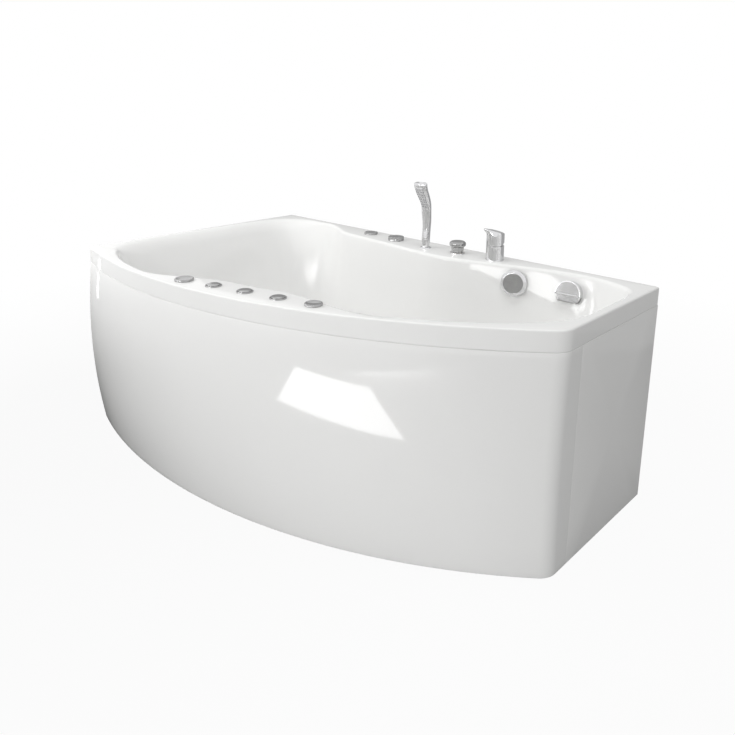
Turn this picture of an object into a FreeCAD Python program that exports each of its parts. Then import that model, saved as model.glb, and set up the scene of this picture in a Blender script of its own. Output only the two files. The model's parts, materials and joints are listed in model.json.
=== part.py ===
import FreeCAD
import Part
import math
import os

# A jetted bathtub for a room corner: straight back and ends, one bowed front.
# The origin is the middle of the floor under it, +X to the right-hand end, +Y to the back, +Z up.
# All lengths are in millimetres.

# Driving sizes of the tub
tub_length = 1500.0
rim_depth = 888.0
rim_height = 600.0
right_depth = 467.84
apex_from_left = 400.0
panel_bow = 22.0
corner_radius = 55.0
left_corner_radius = 26.0
wall = 6.0

# Places worked out from the driving sizes
half_length = tub_length / 2
overall_depth = rim_depth + panel_bow
back_y = overall_depth / 2
apex_x = apex_from_left - half_length
front_run = tub_length - apex_from_left
front_fall = rim_depth - right_depth
front_radius = (front_run ** 2 + front_fall ** 2) / (2 * front_fall)
rim_apex_y = back_y - rim_depth
front_center_y = rim_apex_y + front_radius

# Rim and its apron
apron_height = 48.0
rim_edge_round = 14.0
basin_edge_round = 10.0
upright_edge_round = 7.0
upright_share = 0.7
deck_under = rim_height - wall
apron_bottom = rim_height - apron_height

# Basin: rim widths, floor and the lean of its walls
end_rim = 26.0
front_end_rim = 31.0
front_shelf = 116.0
back_shelf_left = 104.0
back_shelf_right = 142.0
basin_floor = 160.0
basin_depth = rim_height - basin_floor
backrest_run = 285.0
foot_run = 135.0
floor_back_inset = 210.0
floor_front_inset = 190.0
heart_from_back = 345.0
basin_heart_y = back_y - heart_from_back
back_start_share = -0.66
back_full_share = -0.38
back_peak_share = 0.14
back_end_share = 0.82
front_start_share = -0.45
front_full_share = -0.08
front_fade_share = 0.12
front_end_share = 0.55
side_lean_share = 0.55
backrest_lean_share = 0.80
floor_round_power = 4.0
rim_squareness = 6.0
floor_squareness = 4.0
basin_sinks_share = (-0.03, 0.2, 0.42, 0.62, 0.78, 0.89, 0.96, 1.0)
outline_points = 48
outline_steps = 720

# Panels
panel_thickness = 4.0
panel_floor_gap = 3.0
panel_seam = 1.0
panel_flange = 12.0
panel_return = 10.0
panel_flange_thickness = 4.0
panel_seam_from_back = 398.0
corner_bow_share = 0.45
panel_top = apron_bottom - panel_seam
panel_seam_y = back_y - panel_seam_from_back

# Base board and welded frame
board_thickness = 18.0
board_inset = 14.0
board_waste_clearance = 6.0
rail = 30.0
rail_wall = 2.5
post = 20.0
post_wall = 2.0
post_edge = 28.0
front_post_inset = 42.0
corner_post_shift = 12.0
board_top = basin_floor - wall
board_bottom = board_top - board_thickness
rail_bottom = board_bottom - rail
rail_middle = board_bottom - rail / 2
back_rail_inset = 265.0
front_rail_left_y = -215.0
front_rail_right_y = 95.0
mid_post_share = -0.023
pump_rail_share = -0.747

# Levelling feet
stud_radius = 6.0
stud_sink = 6.0
nut_across = 19.0
nut_sides = 6
nut_height = 9.0
pad_radius = 20.0
pad_neck_radius = 12.0
pad_edge = 6.0
pad_height = 14.0

# Brackets between the posts and the panels
bracket_thickness = 3.0

# Running fits, loose gaps and the overrun of a cut
running_fit = 0.05
free_gap = 0.4
loose_gap = 1.0
overrun = 10.0

# Waste in the floor
waste_x_share = 0.45
waste_y = basin_heart_y
waste_hole = 26.0
waste_flange_radius = 36.0
waste_flange_height = 2.0
waste_bore = 22.0
waste_tail = 25.0
waste_tail_length = 20.0
waste_body_radius = 34.0
waste_body_wall = 4.0
waste_body_height = 84.0
gasket_thickness = 2.0
plug_radius = 24.0
plug_rim = 3.0
plug_dome = 3.0
plug_shoulder_share = 0.7
plug_stem_radius = 4.0
plug_stem_length = 40.0
spider_height = 8.0
spider_drop = 36.0
trap_radius = 42.0
trap_height = 48.0
trap_neck_radius = 30.0
trap_edge = 8.0
drain_pipe_radius = 20.0
drain_bore_depth = 60.0
drain_pipe_wall = 3.0
drain_from_back = 4.0

# Overflow on the back wall
overflow_x_share = 0.503
overflow_drop = 47.0
overflow_hole = 23.0
overflow_trim_radius = 33.0
overflow_trim_proud = 5.0
overflow_knob_radius = 38.0
overflow_knob_face_radius = 31.0
overflow_knob_thickness = 18.0
overflow_knob_dish = 2.5
overflow_dish_share = 0.8
overflow_shaft_radius = 5.0
overflow_shaft_length = 34.0
overflow_body_radius = 30.0
overflow_body_length = 44.0
overflow_flange_radius = 36.0
overflow_pipe_radius = 16.0
overflow_port_reach = 26.0
overflow_port_drop = 42.0
overflow_pipe_bend = 50.0
overflow_pipe_height = 87.0
overflow_height = rim_height - overflow_drop

# Filler spout on the back wall
filler_x_share = 0.711
filler_drop = 55.0
filler_hood_radius = 37.0
filler_hood_proud = 20.0
filler_hood_wall = 4.0
filler_chord_drop = 22.0
filler_step_drop = 4.0
filler_step_depth = 7.0
filler_hole = 17.0
filler_body_radius = 22.0
filler_body_length = 40.0
filler_flange_radius = 28.0
filler_bore = 10.0
filler_pipe_radius = 9.0
filler_pipe_bend = 22.0
filler_pipe_fall = 67.0
filler_pipe_from_back = 18.0
filler_pipe_slant = 100.0
filler_port_drop = 32.0
filler_port_reach = 26.0
filler_height = rim_height - filler_drop
filler_pipe_height = filler_height - filler_pipe_fall

# Round controls on the front rim
front_control_inset = 48.0
front_first_share = -0.216
front_last_share = 0.325
front_turner_radii = (25.5, 22.0)
button_count = 3
turner_height = 6.0
turner_dish = 2.5
turner_dish_share = 0.72
turner_lift = 0.4
button_radius = 21.5
button_cap_radius = 17.5
button_bezel_height = 3.0
button_cap_height = 5.5
button_travel = 2.0
button_edge = 1.0
button_stem_radius = 7.0
button_stem_length = 24.0
sleeve_radius = 15.0
sleeve_length = 40.0
spindle_radius = 5.0
spindle_length = 22.0
shank_radius = 15.0
shank_length = 56.0
deck_nut_radius = 20.0
deck_nut_height = 8.0

# Turning controls and fittings on the back deck
back_turner_shares = (-0.320, -0.145)
back_turner_insets = (51.0, 63.0)
back_turner_radii = (23.5, 26.5)
back_turner_heights = (7.5, 13.0)
shower_share = 0.048
shower_inset = 80.0
diverter_share = 0.208
diverter_inset = 69.0
mixer_share = 0.381
mixer_inset = 58.0

# Hand shower
shower_socket_radius = 16.0
shower_socket_proud = 3.0
shower_socket_flare = 2.0
shower_socket_length = 62.0
shower_stem_radius = 9.0
shower_stem_length = 40.0
shower_height = 210.0
shower_depth = 20.0
shower_width = 42.0
shower_lean = 30.0
shower_rows_share = (0.0, 0.2, 0.45, 0.7, 0.88, 0.97, 1.0)
shower_widths_share = (0.58, 0.66, 0.84, 0.97, 1.0, 0.90, 0.62)
shower_depths_share = (1.2, 1.08, 0.95, 0.92, 1.0, 0.86, 0.5)
shower_lean_power = 2.2
spray_width_share = 0.72
spray_low_share = 0.72
spray_high_share = 0.95
spray_depth_share = 0.92
spray_sink = 2.0
spray_thickness = 3.0
spray_edge = 8.0

# Diverter knob
diverter_top_radius = 24.5
diverter_foot_radius = 19.5
diverter_height = 34.0
diverter_dish = 2.0
diverter_flutes = 10
flute_radius = 6.0
flute_depth = 2.0
diverter_base_radius = 22.0
diverter_base_height = 3.0

# Mixer
mixer_radius = 23.0
mixer_flange_radius = 26.0
mixer_flange_height = 4.0
mixer_column_height = 44.0
mixer_ball_radius = 24.0
mixer_ball_rise = 8.0
mixer_spigot_radius = 9.0
mixer_spigot_length = 26.0
lever_outer_radius = 27.5
lever_skirt_rise = 4.0
lever_height = 92.0
lever_slope_deg = 14.0
lever_beak_reach = 40.0
lever_beak_width = 26.0
lever_beak_thickness = 8.0
lever_pin_radius = 3.0
lever_heading_deg = 235.0
supply_radius = 7.0
supply_spread = 18.0
supply_forward = 12.0
supply_drop = 180.0
supply_bend = 24.0
supply_from_back = 4.0
mixer_shank_radius = 15.0
mixer_shank_length = 34.0

# Jets
front_jet_shares = (-0.40, 0.04, 0.36)
back_jet_shares = (-0.25, 0.05, 0.36)
jet_rise = 140.0
jet_rim_radius = 29.0
jet_rim_proud = 6.0
jet_ball_radius = 15.0
jet_ball_sink = 4.0
jet_ball_nose = 11.0
jet_ball_tail = 12.0
jet_bore = 6.5
jet_hole = 21.0
jet_neck_radius = 20.0
jet_flange_radius = 32.0
jet_flange_thickness = 5.0
jet_barrel_radius = 22.0
jet_length = 62.0
jet_port_reach = 44.0
jet_port_drop = 30.0
jet_water_radius = 12.0
jet_air_radius = 8.0
jet_height = basin_floor + jet_rise

# Pipes of the jets
pressure_rise = 25.0
pressure_radius = 16.0
pressure_bend = 45.0
pressure_corner = 60.0
pressure_back_share = -0.573
pressure_back_inset = 63.0
air_fall = 25.0
air_radius = 9.0
air_bend = 30.0
suction_share = -0.46
suction_rise = 75.0
suction_hole = 27.0
suction_grille_radius = 40.0
suction_grille_proud = 7.0
suction_slots = 12
suction_slot_length = 14.0
suction_slot_width = 4.0
suction_slot_ring = 26.0
suction_flange_radius = 40.0
suction_body_radius = 29.0
suction_body_length = 62.0
suction_port_reach = 36.0
suction_port_length = 46.0
suction_pipe_radius = 24.0
suction_pipe_bend = 60.0
pressure_height = jet_height + jet_port_drop + pressure_rise
air_height = jet_height - jet_port_drop - air_fall
suction_height = basin_floor + suction_rise

# Pump and control box
pump_from_left = 95.0
pump_plate_thickness = 4.0
pump_plate_front = -195.0
pump_plate_back = 140.0
volute_radius = 70.0
volute_length = 58.0
volute_back = 118.0
volute_round = 10.0
pump_lift = 6.0
pump_foot_width = 90.0
pump_foot_length = 40.0
inlet_radius = 27.0
inlet_length = 30.0
outlet_rise = 20.0
outlet_radius = 19.0
motor_radius = 54.0
motor_length = 140.0
motor_ribs = 14
motor_rib_height = 7.0
motor_rib_width = 4.0
fan_cover_radius = 60.0
fan_cover_length = 34.0
fan_cover_round = 12.0
motor_foot_width = 60.0
box_length = 110.0
box_width = 52.0
box_height = 80.0
box_round = 6.0
box_from_plate = 6.0

# Worked-out places of the pump
pump_x = pump_from_left - half_length
plate_top = board_bottom + pump_plate_thickness
pump_axis_height = plate_top + pump_lift + volute_radius
outlet_top = pump_axis_height + volute_radius + outlet_rise

UP = FreeCAD.Vector(0, 0, 1)
DOWN = FreeCAD.Vector(0, 0, -1)
ALONG = FreeCAD.Vector(1, 0, 0)
BACK = FreeCAD.Vector(0, 1, 0)
ORIGIN = FreeCAD.Vector(0, 0, 0)


def at(x, y, z):
    return FreeCAD.Vector(x, y, z)


def blend(start, end, share):
    return start + (end - start) * share


def clamp(share):
    return min(max(share, 0.0), 1.0)


def ease(share):
    """Smooth step from 0 to 1."""
    held = clamp(share)
    return held * held * (3 - 2 * held)


def rod(radius, length, base, axis=UP):
    return Part.makeCylinder(radius, length, base, axis)


def ring(radius, bore, length, base, axis=UP):
    hole = rod(bore, length + 2 * overrun, base - axis * overrun, axis)
    return rod(radius, length, base, axis).cut(hole)


def block(x_size, y_size, z_size, low_corner):
    return Part.makeBox(x_size, y_size, z_size, low_corner)


def turned(profile, base, axis=UP):
    """Solid turned from (radius, height) points about an axis through a base point."""
    corners = [at(radius, 0, height) for radius, height in profile]
    outline = Part.makePolygon(corners + corners[:1])
    solid = Part.Face(outline).revolve(ORIGIN, UP, 360)
    solid.Placement = FreeCAD.Placement(base, FreeCAD.Rotation(UP, axis))
    return solid


def fused(shapes):
    first = shapes[0]
    return first.multiFuse(shapes[1:]).removeSplitter() if len(shapes) > 1 else first


def pipe(points, radius, bend):
    """Round pipe along straight runs joined by tangent bends."""
    edges = []
    start = points[0]
    for corner, after in zip(points[1:-1], points[2:]):
        inward = (corner - start).normalize()
        outward = (after - corner).normalize()
        half_turn = inward.getAngle(outward) / 2
        trim = bend * math.tan(half_turn)
        sag = bend / math.cos(half_turn) - bend
        arc_start = corner - inward * trim
        arc_end = corner + outward * trim
        arc_middle = corner + (outward - inward).normalize() * sag
        edges.append(Part.makeLine(start, arc_start))
        edges.append(Part.Arc(arc_start, arc_middle, arc_end).toShape())
        start = arc_end
    edges.append(Part.makeLine(start, points[-1]))
    section = Part.Wire(Part.makeCircle(radius, points[0], points[1] - points[0]))
    return Part.Wire(edges).makePipeShell([section], True, False)


def square_tube(start, end, size, thickness):
    """Hollow square tube between two points."""
    axis = end - start
    outer = Part.makeBox(size, size, axis.Length, at(-size / 2, -size / 2, 0))
    bore = size - 2 * thickness
    inner = Part.makeBox(bore, bore, axis.Length + 2 * overrun, at(-bore / 2, -bore / 2, -overrun))
    tube = outer.cut(inner)
    across = UP if abs(axis.z) < axis.Length / 2 else ALONG
    turn = FreeCAD.Rotation(ORIGIN, across, axis, "ZYX")
    tube.Placement = FreeCAD.Placement(start, turn)
    return tube


# Plan of the tub


def circle_through(first, second, third):
    """Centre and radius of the circle through three plan points."""
    center = Part.Arc(first, second, third).toShape().Curve.Center
    return center, (first - center).Length


def front_line(x, inset):
    """Y of the front edge at x, moved in from the edge of the rim."""
    return front_center_y - math.sqrt((front_radius - inset) ** 2 - (x - apex_x) ** 2)


def front_circle(bow):
    """Circle of the front skirt, swelled outward by a bow that fades towards the right-hand corner."""
    left = at(-half_length, front_line(-half_length, 0) - bow, 0)
    apex = at(apex_x, rim_apex_y - bow, 0)
    right = at(half_length, front_line(half_length, 0) - bow * corner_bow_share, 0)
    return circle_through(left, apex, right)


def skirt_corner(center, radius, turn, x, z):
    """Centre of the arc between the front and an end, and the direction to it from the front's centre."""
    y = center.y - math.sqrt((radius - turn) ** 2 - (x - center.x) ** 2)
    corner = at(x, y, z)
    return corner, (corner - at(center.x, center.y, z)).normalize()


def arc_edge(start, heart, way, reach, end):
    """Arc from start to end through the point in a direction from its centre."""
    return Part.Arc(start, heart + way.normalize() * reach, end).toShape()


def skirt_path(inset, bow, end_y, z):
    """Edges of the left corner, the front, the right corner and the right-hand end."""
    center, radius = front_circle(bow)
    heart = at(center.x, center.y, z)
    left, left_way = skirt_corner(center, radius, left_corner_radius, left_corner_radius - half_length, z)
    right, right_way = skirt_corner(center, radius, corner_radius, half_length - corner_radius, z)
    left_turn = left_corner_radius - inset
    right_turn = corner_radius - inset
    start = left - ALONG * left_turn
    left_joint = left + left_way * left_turn
    right_joint = right + right_way * right_turn
    side = right + ALONG * right_turn
    end = at(half_length - inset, end_y, z)
    edges = [arc_edge(start, left, left_way - ALONG, left_turn, left_joint),
             arc_edge(left_joint, heart, left_way + right_way, radius - inset, right_joint),
             arc_edge(right_joint, right, right_way + ALONG, right_turn, side),
             Part.makeLine(side, end)]
    return edges, start, end


def rim_face(inset, z):
    """Plan of the whole rim, moved in from its edge."""
    edges, start, end = skirt_path(inset, 0, back_y - inset, z)
    back_left = at(inset - half_length, back_y - inset, z)
    edges.append(Part.makeLine(end, back_left))
    edges.append(Part.makeLine(back_left, start))
    return Part.Face(Part.Wire(edges))


def back_rim(x):
    """Width of the back rim at x: a deck that swells between narrow ends."""
    share = x / half_length
    rise = ease((share - back_start_share) / (back_full_share - back_start_share))
    growth = clamp((share - back_full_share) / (back_peak_share - back_full_share))
    fall = ease((back_end_share - share) / (back_end_share - back_peak_share))
    deck = blend(back_shelf_left, back_shelf_right, growth)
    return blend(end_rim, deck, rise * fall)


def front_rim(x):
    """Width of the front rim at x: a shelf for the controls between narrow ends."""
    share = x / half_length
    rise = ease((share - front_start_share) / (front_full_share - front_start_share))
    fall = ease((front_end_share - share) / (front_end_share - front_fade_share))
    return blend(front_end_rim, front_shelf, rise * fall)


def lean(sink, straight_share):
    """How far a wall has come in at a share of the depth: straight, then rounding into the floor."""
    depth = clamp(sink)
    rounding = 1 - (1 - depth ** floor_round_power) ** (1 / floor_round_power)
    return straight_share * sink + (1 - straight_share) * rounding


def basin_points(sink, grow, z):
    """Evenly spaced points of the basin's outline at a share of its depth, grown by a wall."""
    side = lean(sink, side_lean_share)
    left = end_rim - half_length + backrest_run * lean(sink, backrest_lean_share)
    right = half_length - end_rim - foot_run * side
    power = 2 / blend(rim_squareness, floor_squareness, clamp(sink))
    fine = []
    for step in range(outline_steps):
        angle = 2 * math.pi * step / outline_steps
        along = math.copysign(abs(math.cos(angle)) ** power, math.cos(angle))
        across = math.copysign(abs(math.sin(angle)) ** power, math.sin(angle))
        x = blend(left, right, (1 + along) / 2)
        back = back_y - blend(back_rim(x), floor_back_inset, side)
        front = front_line(x, blend(front_rim(x), floor_front_inset, side))
        fine.append(at(x, blend(front, back, (1 + across) / 2), z))
    return grown(spaced(fine), grow)


def spaced(fine):
    """A set number of points, the same distance apart along a fine closed outline."""
    loop = fine + fine[:1]
    runs = [0.0]
    for start, end in zip(loop, loop[1:]):
        runs.append(runs[-1] + (end - start).Length)
    points = []
    index = 0
    for number in range(outline_points):
        wanted = runs[-1] * number / outline_points
        while runs[index + 1] < wanted:
            index += 1
        share = (wanted - runs[index]) / (runs[index + 1] - runs[index])
        points.append(loop[index] + (loop[index + 1] - loop[index]) * share)
    return points


def grown(points, distance):
    """The points of a closed outline moved outward."""
    moved = []
    for index, point in enumerate(points):
        tangent = points[(index + 1) % len(points)] - points[index - 1]
        moved.append(point + tangent.cross(UP).normalize() * distance)
    return moved


def smooth_wire(points):
    """Closed smooth curve through evenly spaced points."""
    curve = Part.BSplineCurve()
    steps = [float(index) for index in range(len(points) + 1)]
    curve.interpolate(Points=points, PeriodicFlag=True, Parameters=steps)
    return Part.Wire(curve.toShape())


def basin_solid(grow, drop):
    """The basin as a filled form, grown and let down by a wall for its outside."""
    wires = []
    for sink in basin_sinks_share:
        wires.append(smooth_wire(basin_points(sink, grow, section_height(sink, drop))))
    return Part.makeLoft(wires, True, False)


def section_height(sink, drop):
    """Height of a section: the opening rises past the rim, and the outside stops inside the deck."""
    if sink < 0 and drop > 0:
        return rim_height - drop / 2
    return rim_height - drop - sink * basin_depth


def wall_seat(basin, x, height, side):
    """Point of the basin's wall in line with x at a height, and the direction out through the wall."""
    reach = Part.makeLine(at(x, basin_heart_y, height), at(x, side * overall_depth, height))
    inside = reach.common(basin)
    point = max((vertex.Point for vertex in inside.Vertexes), key=lambda spot: side * spot.y)
    face = max(basin.Faces, key=lambda one: one.Area)
    u, v = face.Surface.parameter(point)
    return point, face.normalAt(u, v)


# Places shared by several pieces


def jet_seats(basin):
    seats = []
    for side, shares in ((-1, front_jet_shares), (1, back_jet_shares)):
        for share in shares:
            seats.append(wall_seat(basin, share * half_length, jet_height, side))
    return seats


def overflow_seat(basin):
    return wall_seat(basin, overflow_x_share * half_length, overflow_height, 1)


def filler_seat(basin):
    return wall_seat(basin, filler_x_share * half_length, filler_height, 1)


def suction_seat(basin):
    return wall_seat(basin, suction_share * half_length, suction_height, 1)


def waste_spot(z):
    return at(waste_x_share * half_length, waste_y, z)


def front_spots(z):
    """Evenly spaced points of the front controls, on a straight line between the first and the last."""
    ends = []
    for share in (front_first_share, front_last_share):
        x = share * half_length
        ends.append(at(x, front_line(x, front_control_inset), z))
    steps = button_count + 1
    return [ends[0] + (ends[1] - ends[0]) * (number / steps) for number in range(steps + 1)]


def back_spot(share, inset, z):
    """Point on the back deck."""
    return at(share * half_length, back_y - inset, z)


def front_turner_spots(z):
    spots = front_spots(z)
    return [spots[0], spots[-1]]


def back_turner_spots(z):
    return [back_spot(share, inset, z) for share, inset in zip(back_turner_shares, back_turner_insets)]


def button_spots(z):
    return front_spots(z)[1:-1]


def post_spots(z):
    """Six posts: back left, back middle, back right, then the front ones in the same order."""
    near = half_length - post_edge
    middle = mid_post_share * half_length
    spots = [at(x, back_y - post_edge, z) for x in (-near, middle, near)]
    for x in (-near, middle, near - corner_post_shift):
        spots.append(at(x, front_line(x, 0) + front_post_inset, z))
    return spots


# Tub, panels, board and frame


def tub_shell(basin, outside):
    """Acrylic tub: rim with its apron, and the lofted basin with every hole that a fitting goes through."""
    rim = rim_face(0, apron_bottom).extrude(UP * apron_height)
    uprights = [edge for edge in rim.Edges if abs(edge.tangentAt(edge.FirstParameter).z) > upright_share]
    sharp = [edge for edge in uprights if edge.Vertexes[0].Y > back_y - wall]
    rim = rim.makeFillet(upright_edge_round, sharp)
    top = [edge for edge in rim.Edges if min(vertex.Z for vertex in edge.Vertexes) > rim_height - wall]
    rim = rim.makeFillet(rim_edge_round, top)
    hollow = rim_face(wall, apron_bottom - overrun).extrude(UP * (deck_under - apron_bottom + overrun))
    shell = rim.cut(hollow).fuse(outside).cut(basin)
    inner = [edge for edge in shell.Edges if is_basin_edge(edge)]
    shell = shell.makeFillet(basin_edge_round, inner)
    return shell.cut(Part.makeCompound(shell_holes(basin)))


def is_basin_edge(edge):
    """True for the free-form edge where the flat rim meets the basin."""
    if edge.Degenerated or not isinstance(edge.Curve, Part.BSplineCurve):
        return False
    middle = edge.valueAt((edge.FirstParameter + edge.LastParameter) / 2)
    return all(abs(point.z - rim_height) < free_gap for point in (middle, edge.Vertexes[0].Point))


def shell_holes(basin):
    """The holes through the tub for the fittings on its walls, floor and deck."""
    holes = []
    walls = [(seat, jet_hole) for seat in jet_seats(basin)]
    walls.append((overflow_seat(basin), overflow_hole))
    walls.append((filler_seat(basin), filler_hole))
    walls.append((suction_seat(basin), suction_hole))
    for (point, out), radius in walls:
        holes.append(rod(radius, 2 * overrun + 2 * wall, point - out * overrun, out))
    under = deck_under - overrun
    for spot in front_turner_spots(under) + back_turner_spots(under):
        holes.append(rod(shank_radius + loose_gap / 2, wall + 2 * overrun, spot))
    for spot in button_spots(under):
        holes.append(rod(sleeve_radius + loose_gap / 2, wall + 2 * overrun, spot))
    deck = ((shower_share, shower_inset), (diverter_share, diverter_inset), (mixer_share, mixer_inset))
    for share, inset in deck:
        holes.append(rod(shank_radius + loose_gap / 2, wall + 2 * overrun, back_spot(share, inset, under)))
    holes.append(rod(waste_hole, wall + 2 * overrun, waste_spot(board_top - overrun)))
    return holes


def skirt_wire(near, far, bow, z):
    """Closed plan of a strip of the skirt between two insets, with its return along the left-hand wall."""
    edges = []
    ends = []
    for inset in (near, far):
        path, start, end = skirt_path(inset, bow, panel_seam_y, z)
        turned_in = start + BACK * panel_return
        edges.extend([Part.makeLine(turned_in, start)] + path)
        ends.append((turned_in, end))
    (outer_start, outer_end), (inner_start, inner_end) = ends
    edges.append(Part.makeLine(outer_end, inner_end))
    edges.append(Part.makeLine(inner_start, outer_start))
    return Part.Wire(Part.__sortEdges__(edges))


def front_panel():
    """Bowed front panel with the flange that hangs it under the rim."""
    middle = (panel_floor_gap + panel_top) / 2
    heights = ((0, panel_floor_gap), (panel_bow, middle), (0, panel_top))
    skirt = Part.makeLoft([skirt_wire(0, panel_thickness, bow, z) for bow, z in heights], True, False)
    near = panel_thickness - free_gap
    low = panel_top - panel_flange_thickness
    flange = Part.Face(skirt_wire(near, panel_thickness + panel_flange, 0, low))
    return skirt.fuse(flange.extrude(UP * panel_flange_thickness))


def end_panel():
    """Flat panel of the right-hand end with folded edges."""
    start = panel_seam_y + panel_seam
    width = back_y - start
    height = panel_top - panel_floor_gap
    outer = block(panel_flange, width, height, at(half_length - panel_flange, start, panel_floor_gap))
    depth = panel_flange - panel_thickness
    corner = at(half_length - panel_flange - overrun, start + panel_thickness, panel_floor_gap - overrun)
    clear = block(depth + overrun, width - 2 * panel_thickness, height - panel_thickness + overrun, corner)
    return outer.cut(clear)


def base_board():
    """Board bonded under the basin's floor, with the opening for the waste."""
    plan = Part.Face(smooth_wire(basin_points(1.0, -board_inset, board_bottom)))
    hole = waste_body_radius + board_waste_clearance
    return plan.extrude(UP * board_thickness).cut(rod(hole, board_thickness + 2 * overrun,
                                                      waste_spot(board_bottom - overrun)))


def base_frame():
    """Welded frame of square tube: two long rails, three cross rails and one for the pump."""
    posts = post_spots(rail_middle)
    back_rail_y = back_y - back_rail_inset
    left_x = posts[0].x
    right_x = posts[2].x
    rails = [(at(left_x, back_rail_y, rail_middle), at(right_x, back_rail_y, rail_middle)),
             (at(left_x, front_rail_left_y, rail_middle), at(right_x, front_rail_right_y, rail_middle))]
    for back, front in zip(posts[:3], posts[3:]):
        start = at(front.x, front.y - post / 2, rail_middle)
        rails.append((start, at(front.x, back.y + post / 2, rail_middle)))
    pump_x_rail = pump_rail_share * half_length
    share = (pump_x_rail - left_x) / (right_x - left_x)
    front_y = blend(front_rail_left_y, front_rail_right_y, share)
    rails.append((at(pump_x_rail, front_y, rail_middle), at(pump_x_rail, back_rail_y, rail_middle)))
    return fused([square_tube(start, end, rail, rail_wall) for start, end in rails])


def rim_posts():
    """Posts from the frame's cross rails up to the underside of the rim."""
    posts = []
    lows = post_spots(board_bottom)
    for low in lows:
        posts.append(square_tube(low, at(low.x, low.y, deck_under), post, post_wall))
    return Part.makeCompound(posts)


def foot_pads():
    cup = pad_height - stud_sink
    profile = ((0, 0), (pad_radius, 0), (pad_radius, pad_edge), (pad_neck_radius, pad_height),
               (stud_radius, pad_height), (stud_radius, cup), (0, cup))
    return Part.makeCompound([turned(profile, spot) for spot in post_spots(0)])


def foot_studs():
    low = pad_height - stud_sink
    return Part.makeCompound([rod(stud_radius, rail_bottom - low, spot) for spot in post_spots(low)])


def foot_nuts():
    nuts = []
    for spot in post_spots(rail_bottom - nut_height):
        corners = []
        for number in range(nut_sides + 1):
            angle = 2 * math.pi * number / nut_sides
            corners.append(spot + at(math.cos(angle), math.sin(angle), 0) * (nut_across / math.sqrt(3)))
        hexagon = Part.Face(Part.makePolygon(corners)).extrude(UP * nut_height)
        nuts.append(hexagon.cut(rod(stud_radius, nut_height + 2 * overrun, spot - UP * overrun)))
    return Part.makeCompound(nuts)


def panel_brackets():
    """Plates from the posts to the underside of the panels' top flanges."""
    low = panel_top - panel_flange_thickness - bracket_thickness
    spots = post_spots(low)
    plates = []
    for spot in spots[3:5]:
        edge = max(front_line(spot.x - post / 2, 0), front_line(spot.x + post / 2, 0))
        front = edge + panel_thickness + bracket_thickness
        reach = spot.y - post / 2 - front
        plates.append(block(post, reach, bracket_thickness, at(spot.x - post / 2, front, low)))
    for spot in (spots[2], spots[5]):
        start = spot.x + post / 2
        reach = half_length - panel_thickness - panel_flange / 2 - start
        plates.append(block(reach, post / 2, bracket_thickness, at(start, spot.y, low)))
    return Part.makeCompound(plates)


# Waste, overflow and filler


def waste_flange():
    """Chrome seat in the floor for the plug, with its tail through the hole."""
    profile = ((waste_bore, 0), (waste_bore + plug_rim, waste_flange_height),
               (waste_flange_radius - waste_flange_height, waste_flange_height), (waste_flange_radius, 0),
               (waste_tail, 0), (waste_tail, -waste_tail_length), (waste_bore, -waste_tail_length))
    return turned(profile, waste_spot(basin_floor))


def waste_gasket():
    return ring(waste_body_radius, waste_tail, gasket_thickness, waste_spot(board_top - gasket_thickness))


def waste_body():
    """Cup under the floor with a spider that guides the plug's stem."""
    top = board_top - gasket_thickness
    bottom = top - waste_body_height
    inner = waste_body_radius - waste_body_wall
    cup = ring(waste_body_radius, inner, waste_body_height, waste_spot(bottom))
    lip = ring(waste_body_radius, waste_tail + free_gap, waste_body_wall, waste_spot(top - waste_body_wall))
    spider_low = waste_spot(basin_floor - spider_drop - spider_height)
    bar = block(2 * inner + waste_body_wall, spider_height, spider_height,
                spider_low - at(inner + waste_body_wall / 2, spider_height / 2, 0))
    hub = rod(plug_stem_radius + waste_body_wall, spider_height, spider_low)
    guide = rod(plug_stem_radius + running_fit, spider_height + 2 * overrun, spider_low - UP * overrun)
    body = fused([cup, lip, bar, hub]).cut(guide)
    return body.cut(overflow_entry(overflow_pipe_radius))


def overflow_entry(radius):
    """Straight run of the overflow pipe into the side of the waste body."""
    low = waste_spot(overflow_pipe_height)
    return rod(radius, waste_body_radius + overrun, low, BACK)


def waste_plug():
    """Domed plug on its lifting stem."""
    seat = waste_flange_height
    edge = seat + plug_rim
    under = seat + free_gap
    foot = seat - plug_stem_length
    profile = ((0, edge + plug_dome), (plug_radius / 2, edge + plug_dome * plug_shoulder_share),
               (plug_radius, edge), (plug_radius, under), (plug_stem_radius, under),
               (plug_stem_radius, foot), (0, foot))
    return turned(profile, waste_spot(basin_floor))


def trap():
    """Flat trap under the waste body, with its outlet to the back."""
    top = board_top - gasket_thickness - waste_body_height
    bottom = top - trap_height
    profile = ((0, 0), (trap_radius - trap_edge, 0), (trap_radius, trap_edge),
               (trap_radius, trap_height - trap_edge), (trap_neck_radius, trap_height), (0, trap_height))
    cup = turned(profile, waste_spot(bottom))
    start = waste_spot(bottom + trap_height / 2)
    run = back_y - drain_from_back - start.y
    outlet = rod(drain_pipe_radius, run, start, BACK)
    bore = rod(drain_pipe_radius - drain_pipe_wall, drain_bore_depth + overrun,
               start + BACK * (run - drain_bore_depth), BACK)
    return cup.fuse(outlet).cut(bore)


def through_wall(seat, outside, flange, barrel, length, neck):
    """Body of a wall fitting: neck through the hole, flange that follows the wall's outside, and barrel."""
    point, out = seat
    thick = jet_flange_thickness
    plate = rod(flange, thick + 2 * wall, point - out * wall, out)
    body = rod(barrel, length, point, out)
    behind = plate.fuse(body).cut(outside)
    return behind.fuse(rod(neck, length, point + out * loose_gap, out)).removeSplitter()


def port(seat, reach, drop, radius, direction):
    """Upright spigot of a wall fitting, from its barrel's axis up or down."""
    point, out = seat
    return rod(radius, drop, point + out * reach, direction)


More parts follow.
